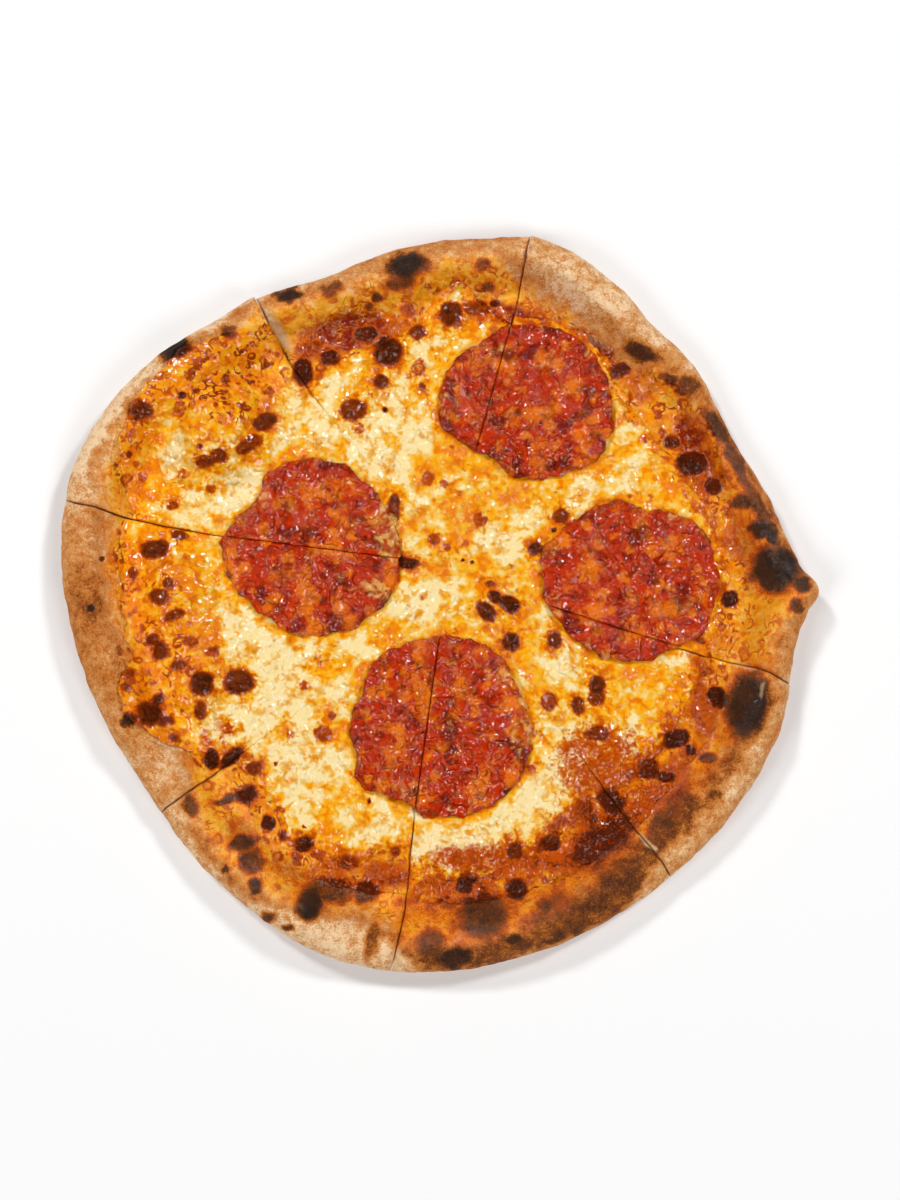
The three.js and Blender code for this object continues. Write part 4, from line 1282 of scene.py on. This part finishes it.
class Finish:
    """A material, whose nodes are added one by one."""

    def __init__(self, name):
        self.material = bpy.data.materials.new(name)
        self.material.use_nodes = True
        self.tree = self.material.node_tree
        self.tree.nodes.clear()
        self.surface = self.node("BsdfPrincipled")
        self.node("OutputMaterial", self.surface.outputs["BSDF"])
        self.place = self.node("TexCoord").outputs["Object"]

    def node(self, kind, *inputs, **values):
        """A new node with these settings, whose first sockets are filled in their order."""
        made = self.tree.nodes.new("ShaderNode" + kind)
        for name, value in values.items():
            setattr(made, name, value)
        for socket, value in zip(made.inputs, inputs):
            self.put(socket, value)
        return made

    def put(self, socket, value):
        """Links a socket to another node's output, or sets it."""
        if isinstance(value, bpy.types.NodeSocket):
            self.tree.links.new(value, socket)
        elif socket.type == "RGBA":
            socket.default_value = (*value, 1)
        else:
            socket.default_value = value

    def fill(self, node, **values):
        """Fills a node's sockets by their names."""
        for name, value in values.items():
            self.put(node.inputs[name.replace("_", " ")], value)
        return node

    def set(self, **values):
        self.fill(self.surface, **values)

    def attribute(self, name):
        return self.node("Attribute", attribute_name=name).outputs["Fac"]

    def noise(self, size, detail=3.0, roughness=0.55, distortion=0.0):
        """Noise with features of about this many millimetres, 0 to 1."""
        made = self.fill(
            self.node("TexNoise"), Vector=self.place, Scale=1 / (size * MM), Detail=detail,
            Roughness=roughness, Distortion=distortion,
        )
        return made.outputs["Fac"]

    def warped(self, size, amount):
        """The place, pushed about by noise of that size, both in millimetres."""
        push = self.fill(self.node("TexNoise"), Vector=self.place, Scale=1 / (size * MM), Detail=1)
        reach = [5 * amount * MM] * 3
        moved = self.node(
            "VectorMath", push.outputs["Color"], reach, self.place, operation="MULTIPLY_ADD"
        )
        return moved.outputs[0]

    def rings(self, size):
        """Little rings round scattered points, and the domes inside them."""
        cell = self.fill(
            self.node("TexVoronoi", feature="F1"), Vector=self.warped(0.6 * size, 0.12 * size),
            Scale=1 / (size * MM), Randomness=0.75,
        )
        luck = self.node("SeparateColor", cell.outputs["Color"]).outputs[0]
        radius = self.spread(luck, 0.0, 1.0, 0.1, 0.34)
        past = self.math("SUBTRACT", cell.outputs["Distance"], radius)
        ring = self.spread(self.math("ABSOLUTE", past), 0.19, 0.05)
        broken = self.spread(self.noise(0.8 * size, 1), 0.32, 0.46)
        return self.times(ring, broken), self.spread(past, 0.0, -0.14)

    def threads(self, size, width, distortion=1.0):
        """Narrow curly lines, where noise crosses its middle level."""
        crossing = self.math("SUBTRACT", self.noise(size, 1.2, 0.5, distortion), 0.5)
        return self.spread(self.math("ABSOLUTE", crossing), width, 0.3 * width)

    def wrinkled(self, bake):
        """The bake with the rings and wrinkles of a blistered skin on it."""
        ring, dome = self.rings(7.5)
        small_ring, small_dome = self.rings(4.8)
        fold = self.times(self.threads(7.5, 0.06), self.spread(self.noise(8, 2), 0.48, 0.58))
        lines = self.greater(ring, fold)
        pattern = self.greater(self.times(lines, 0.74), self.times(dome, 0.4))
        pattern = self.greater(pattern, self.times(small_ring, 0.64))
        raised = self.math("SUBTRACT", self.greater(dome, small_dome), lines)
        here = self.times(self.spread(self.noise(9, 2), 0.35, 0.5), self.attribute("skin"))
        return self.greater(bake, self.times(pattern, here)), self.times(raised, here)

    def math(self, operation, first, second=0.0):
        return self.node("Math", first, second, operation=operation).outputs[0]

    def times(self, first, second):
        return self.math("MULTIPLY", first, second)

    def greater(self, first, second):
        return self.math("MAXIMUM", first, second)

    def shifted(self, value, *noises):
        """The value with each (noise, strength) pair laid over it, kept between 0 and 1."""
        for noise, strength in noises:
            centred = self.math("SUBTRACT", noise, 0.5)
            value = self.math("ADD", value, self.times(centred, strength))
        return self.node("Clamp", value).outputs[0]

    def spread(self, value, low, high, start=0.0, end=1.0):
        """A soft step of the value between low and high, which leads from start to end."""
        made = self.node("MapRange", value, low, high, start, end, interpolation_type="SMOOTHSTEP")
        return made.outputs[0]

    def ramp(self, value, stops):
        made = self.node("ValToRGB", value)
        elements = made.color_ramp.elements
        while len(elements) < len(stops):
            elements.new(0.5)
        for element, (position, shade) in zip(elements, stops):
            element.position = position
            element.color = (*shade, 1)
        return made.outputs["Color"]

    def mix(self, first, second, share):
        made = self.node("Mix", share, data_type="RGBA")
        self.put(made.inputs[6], first)
        self.put(made.inputs[7], second)
        return made.outputs[2]

    def dry_crust(self, bake):
        """The colours of crust without oil."""
        crust = settings().crust
        return self.ramp(bake, [
            (0.0, crust.flour), (0.2, crust.tan), (0.42, crust.golden), (0.6, crust.brown),
            (0.78, crust.dark), (0.95, crust.char),
        ])

    def roasted(self, base, bake, brown):
        """The base colour, toasted, browned and then darkened where it is more baked."""
        cheese = settings().cheese
        toasted = self.mix(base, cheese.toasted, self.spread(bake, 0.12, 0.46))
        browned = self.mix(toasted, brown, self.spread(bake, 0.4, 0.74))
        return self.mix(browned, cheese.dark, self.spread(bake, 0.7, 1.05))

    def with_painted_glints(self, shade, painted_glint, strength, rarity=0.5):
        """The colour with clusters of small curly threads on it: painted highlights, where light
        would glint on wet fat and oil.
        """
        clusters = self.spread(self.noise(6.0, 3, 0.6), rarity, rarity + 0.14)
        threads = self.threads(2.8, 0.045, 0.5)
        return self.mix(shade, painted_glint, self.times(self.times(threads, clusters), strength))

    def wet(self, size, depth, ridge_depth, gloss, raised=None):
        """An oily gloss over little bumps of a surface that lets some light in."""
        lively = self.spread(self.noise(2.5 * size, 2), 0.38, 0.58, 0.4, 1.3)
        hills = self.times(self.noise(size, 1.0, 0.45, 0.35), lively)
        ridges = self.times(self.threads(size, 0.09, 0.5), lively)
        normal = self.bump(hills, depth, self.bump(ridges, ridge_depth))
        if raised is not None:
            normal = self.bump(raised, 0.3, normal)
        self.set(
            Roughness=0.5,
            Specular_IOR_Level=0.0,
            Normal=normal,
            Coat_Weight=gloss,
            Coat_IOR=1.5,
            Coat_Roughness=0.06,
            Coat_Normal=normal,
            Subsurface_Weight=0.08,
            Subsurface_Scale=0.002,
            Subsurface_Radius=(1.0, 0.4, 0.15),
        )

    def bump(self, height, depth, normal=None):
        """A bump as deep as depth, in millimetres, on top of another one if there is one."""
        made = self.fill(self.node("Bump"), Strength=1, Distance=depth * MM, Height=height)
        if normal is not None:
            self.fill(made, Normal=normal)
        return made.outputs[0]


def crust_finish():
    crust = settings().crust
    cheese = settings().cheese
    sauce = settings().sauce
    finish = Finish("baked_dough")
    grain = finish.noise(0.9, 4, 0.6)
    mottle = finish.noise(3.2, 4, 0.6, 0.4)
    flecks = finish.noise(0.45, 2)
    bake = finish.shifted(finish.attribute("bake"), (grain, 0.5), (mottle, 0.55), (flecks, 0.3))
    bake, raised = finish.wrinkled(bake)
    dry = finish.dry_crust(bake)
    oily = finish.ramp(bake, [
        (0.0, cheese.yellow), (0.26, cheese.orange), (0.5, cheese.toasted), (0.68, crust.brown),
        (0.84, crust.dark), (1.0, crust.char),
    ])
    oil = finish.shifted(finish.attribute("oil"), (mottle, 1.2), (grain, 0.5))
    shade = finish.mix(dry, oily, oil)
    red = finish.shifted(finish.attribute("red"), (mottle, 1.2), (grain, 0.8))
    saucy = finish.roasted(finish.mix(sauce.bright, sauce.red, mottle), bake, sauce.burnt)
    shade = finish.mix(shade, saucy, red)
    # Painted shade: the crumb is darker in its air holes, where shade falls inside them.
    holes = finish.spread(finish.noise(2.2, 3), 0.45, 0.75)
    crumb = finish.mix(crust.crumb, crust.tan, holes)
    dents = finish.times(finish.noise(4.5, 1.2, 0.45, 0.35), oil)
    normal = finish.bump(grain, 0.15, finish.bump(raised, 0.35, finish.bump(dents, 1.3)))
    finish.set(
        Base_Color=finish.mix(shade, crumb, finish.attribute("bare")),
        Roughness=0.8,
        Specular_IOR_Level=0.2,
        Normal=normal,
        Coat_Weight=finish.times(oil, 0.6),
        Coat_IOR=1.5,
        Coat_Roughness=0.06,
        Coat_Normal=normal,
        Subsurface_Weight=0.05,
        Subsurface_Scale=0.002,
        Subsurface_Radius=(1.0, 0.5, 0.25),
    )
    return finish.material


def sauce_finish():
    sauce = settings().sauce
    cheese = settings().cheese
    finish = Finish("tomato_sauce")
    pulp = finish.noise(1.3, 4, 0.6, 0.8)
    mottle = finish.noise(4.0, 4, 0.6)
    oil = finish.shifted(finish.attribute("oil"), (mottle, 1.2), (pulp, 0.8))
    red = finish.shifted(finish.attribute("red"), (mottle, 1.2), (pulp, 0.8))
    gold = finish.mix(cheese.orange, cheese.yellow, finish.spread(mottle, 0.35, 0.6))
    thin = finish.mix(sauce.bright, gold, oil)
    thick = finish.mix(sauce.red, sauce.bright, finish.spread(oil, 0.2, 0.6))
    bake = finish.shifted(finish.attribute("bake"), (pulp, 0.8), (mottle, 0.5))
    bake, raised = finish.wrinkled(bake)
    # Painted highlights and oil streaks: orange threads mixed into the sauce's colour.
    shade = finish.with_painted_glints(finish.mix(thin, thick, red), sauce.painted_glint, 0.6, 0.46)
    shade = finish.roasted(shade, bake, sauce.burnt)
    dry = finish.shifted(finish.attribute("dry"), (mottle, 1.2), (pulp, 0.5))
    finish.set(Base_Color=finish.mix(shade, finish.dry_crust(bake), dry))
    gloss = finish.times(finish.spread(bake, 0.4, 0.9, 0.65, 0.25), finish.spread(dry, 1.0, 0.3))
    finish.wet(4.6, 1.5, 0.25, gloss, raised)
    return finish.material


def cheese_finish():
    cheese = settings().cheese
    finish = Finish("melted_cheese")
    curd = finish.noise(2.8, 0.6, 0.5, 0.9)
    mottle = finish.noise(5.5, 1.5, 0.5, 0.5)
    fine = finish.noise(1.1, 1, 0.5, 0.6)
    broad = finish.noise(12, 2, 0.5, 0.5)
    oil = finish.shifted(
        finish.attribute("oil"), (curd, 1.3), (mottle, 1.3), (broad, 0.8), (fine, 0.25)
    )
    shade = finish.ramp(oil, [
        (0.0, cheese.pale), (0.22, cheese.cream), (0.55, cheese.yellow), (1.0, cheese.orange),
    ])
    red = finish.shifted(finish.attribute("red"), (mottle, 1.2), (curd, 0.8))
    shade = finish.mix(shade, settings().sauce.bright, red)
    bake = finish.shifted(finish.attribute("bake"), (curd, 0.5), (fine, 0.4))
    bake, raised = finish.wrinkled(bake)
    # Painted highlights go on the pale parts of the cheese, as white threads in its colour.
    pale = finish.spread(oil, 0.5, 0.1, 0.0, 0.6)
    shade = finish.roasted(finish.with_painted_glints(shade, cheese.painted_glint, pale, 0.4), bake, cheese.brown)
    finish.set(Base_Color=shade)
    finish.wet(4.6, 1.3, 0.1, finish.spread(bake, 0.4, 0.9, 0.8, 0.25), raised)
    return finish.material


def salami_finish():
    salami = settings().salami
    finish = Finish("spicy_salami")
    mince = finish.noise(2.4, 2, 0.5, 1.6)
    mottle = finish.noise(5.0, 3, 0.55, 1.0)
    fine = finish.noise(0.8, 2)
    shade = finish.mix(salami.meat, salami.deep, finish.spread(mottle, 0.46, 0.74))
    pink = finish.shifted(finish.attribute("pink"), (mince, 1.4), (fine, 0.4))
    shade = finish.mix(shade, salami.pink, finish.spread(pink, 0.3, 1.0, 0.0, 0.75))
    fat = finish.shifted(finish.attribute("fat"), (mince, 1.6), (fine, 0.5))
    shade = finish.mix(shade, salami.fat, finish.spread(fat, 0.1, 1.1, 0.0, 0.9))
    deep = finish.shifted(finish.attribute("deep"), (mince, 0.5), (mottle, 0.6))
    shade = finish.mix(shade, salami.deep, finish.spread(deep, 0.05, 1.0, 0.0, 0.9))
    flow = finish.noise(4.2, 1.0, 0.5, 0.8)
    veil = finish.shifted(finish.attribute("veil"), (flow, 1.8))
    melted = finish.mix(salami.stained, salami.veil, finish.spread(flow, 0.4, 0.6))
    shade = finish.mix(shade, melted, finish.spread(veil, 0.1, 1.1, 0.0, 0.7))
    # Painted highlights: warm threads mixed into the salami's colour, on top of its real gloss.
    finish.set(Base_Color=finish.with_painted_glints(shade, salami.painted_glint, 0.3, 0.53))
    finish.wet(5.0, 2.5, 0.35, 0.8)
    return finish.material


# --- Operators ---


def slices():
    return [Slice(i + 1, description) for i, description in enumerate(SLICES)]


class PIZZA_OT_crust(Operator):
    """Makes the baked dough of every slice, with its puffed rim"""

    bl_idname = "pizza.crust"
    bl_label = "Crust"

    def execute(self, context):
        material = crust_finish()
        for piece_of in slices():
            make_crust(piece_of, material)
        return {"FINISHED"}


class PIZZA_OT_sauce(Operator):
    """Makes the tomato sauce of every slice"""

    bl_idname = "pizza.sauce"
    bl_label = "Tomato sauce"

    def execute(self, context):
        material = sauce_finish()
        for piece_of in slices():
            make_sauce(piece_of, material)
        return {"FINISHED"}


class PIZZA_OT_cheese(Operator):
    """Makes the melted cheese of every slice, with its browned blisters"""

    bl_idname = "pizza.cheese"
    bl_label = "Cheese"

    def execute(self, context):
        material = cheese_finish()
        for piece_of in slices():
            make_cheese(piece_of, material)
        return {"FINISHED"}


class PIZZA_OT_salami(Operator):
    """Makes the two parts of each of the four cut salami slices"""

    bl_idname = "pizza.salami"
    bl_label = "Salami"

    def execute(self, context):
        material = salami_finish()
        pieces = slices()
        for key, description in SALAMI_ROUNDS.items():
            for part, number_of in enumerate(description["parts"]):
                make_salami(pieces[number_of - 1], key, part, material)
        return {"FINISHED"}


def softbox(name, place, size, power):
    """A round light that shines on the pizza."""
    lamp = bpy.data.lights.new(name, "AREA")
    lamp.shape = "DISK"
    lamp.size = size
    lamp.energy = power
    light = bpy.data.objects.new(name, lamp)
    light.location = place
    light.rotation_euler = (-Vector(place)).to_track_quat("-Z", "Y").to_euler()
    bpy.context.scene.collection.objects.link(light)


class PIZZA_OT_stage(Operator):
    """Makes the floor, the light and the camera"""

    bl_idname = "pizza.stage"
    bl_label = "Stage"

    def execute(self, context):
        stage = settings().stage
        shape = flat_grid(1, 1, 6)
        mesh = bpy.data.meshes.new("floor")
        shape.to_mesh(mesh)
        shape.free()
        floor = bpy.data.objects.new("floor", mesh)
        context.scene.collection.objects.link(floor)
        finish = Finish("pale_floor")
        finish.set(Base_Color=stage.floor, Roughness=0.9)
        mesh.materials.append(finish.material)

        for i, place in enumerate([(-0.75, 0.85, 1.15), (0.9, 0.7, 1.15)]):
            softbox(f"key_light_{i + 1}", place, 0.25, stage.key_power)
        for i, place in enumerate([(-0.95, -0.6, 1.1), (0.75, -0.85, 1.1)]):
            softbox(f"soft_light_{i + 1}", place, 0.6, stage.soft_power)
        world = bpy.data.worlds.new("pale_room")
        world.use_nodes = True
        background = world.node_tree.nodes["Background"]
        background.inputs["Color"].default_value = (1, 1, 1, 1)
        background.inputs["Strength"].default_value = stage.sky
        context.scene.world = world
        context.scene.view_settings.view_transform = "Standard"

        lens = bpy.data.cameras.new("camera")
        lens.lens = LENS
        lens.sensor_width = SENSOR
        camera = bpy.data.objects.new("camera", lens)
        camera.location = VIEW_EYE * MM
        camera.rotation_euler = (math.pi / 2 - VIEW_ELEVATION, 0, 0)
        context.scene.collection.objects.link(camera)
        context.scene.camera = camera
        return {"FINISHED"}


OPERATORS = (PIZZA_OT_crust, PIZZA_OT_sauce, PIZZA_OT_cheese, PIZZA_OT_salami, PIZZA_OT_stage)
SETTINGS = (
    CrustSettings, SauceSettings, CheeseSettings, SalamiSettings, StageSettings, PizzaSettings,
)


class PIZZA_PT_panel(Panel):
    """Lists what makes the pizza"""

    bl_idname = "PIZZA_PT_panel"
    bl_label = "Diavola Pizza"
    bl_space_type = "VIEW_3D"
    bl_region_type = "UI"
    bl_category = "Pizza"

    def draw(self, context):
        for operator in OPERATORS:
            self.layout.operator(operator.bl_idname)
        for group in ("crust", "sauce", "cheese", "salami", "stage"):
            box = self.layout.box()
            box.label(text=group.capitalize())
            values = getattr(context.scene.pizza, group)
            for name in values.__annotations__:
                box.prop(values, name)


CLASSES = (*SETTINGS, *OPERATORS, PIZZA_PT_panel)


def register():
    for one in CLASSES:
        bpy.utils.register_class(one)
    bpy.types.Scene.pizza = PointerProperty(type=PizzaSettings)


def unregister():
    del bpy.types.Scene.pizza
    for one in reversed(CLASSES):
        bpy.utils.unregister_class(one)


def main():
    register()
    for operator in OPERATORS:
        group, name = operator.bl_idname.split(".")
        getattr(getattr(bpy.ops, group), name)()


if __name__ == "__main__":
    main()
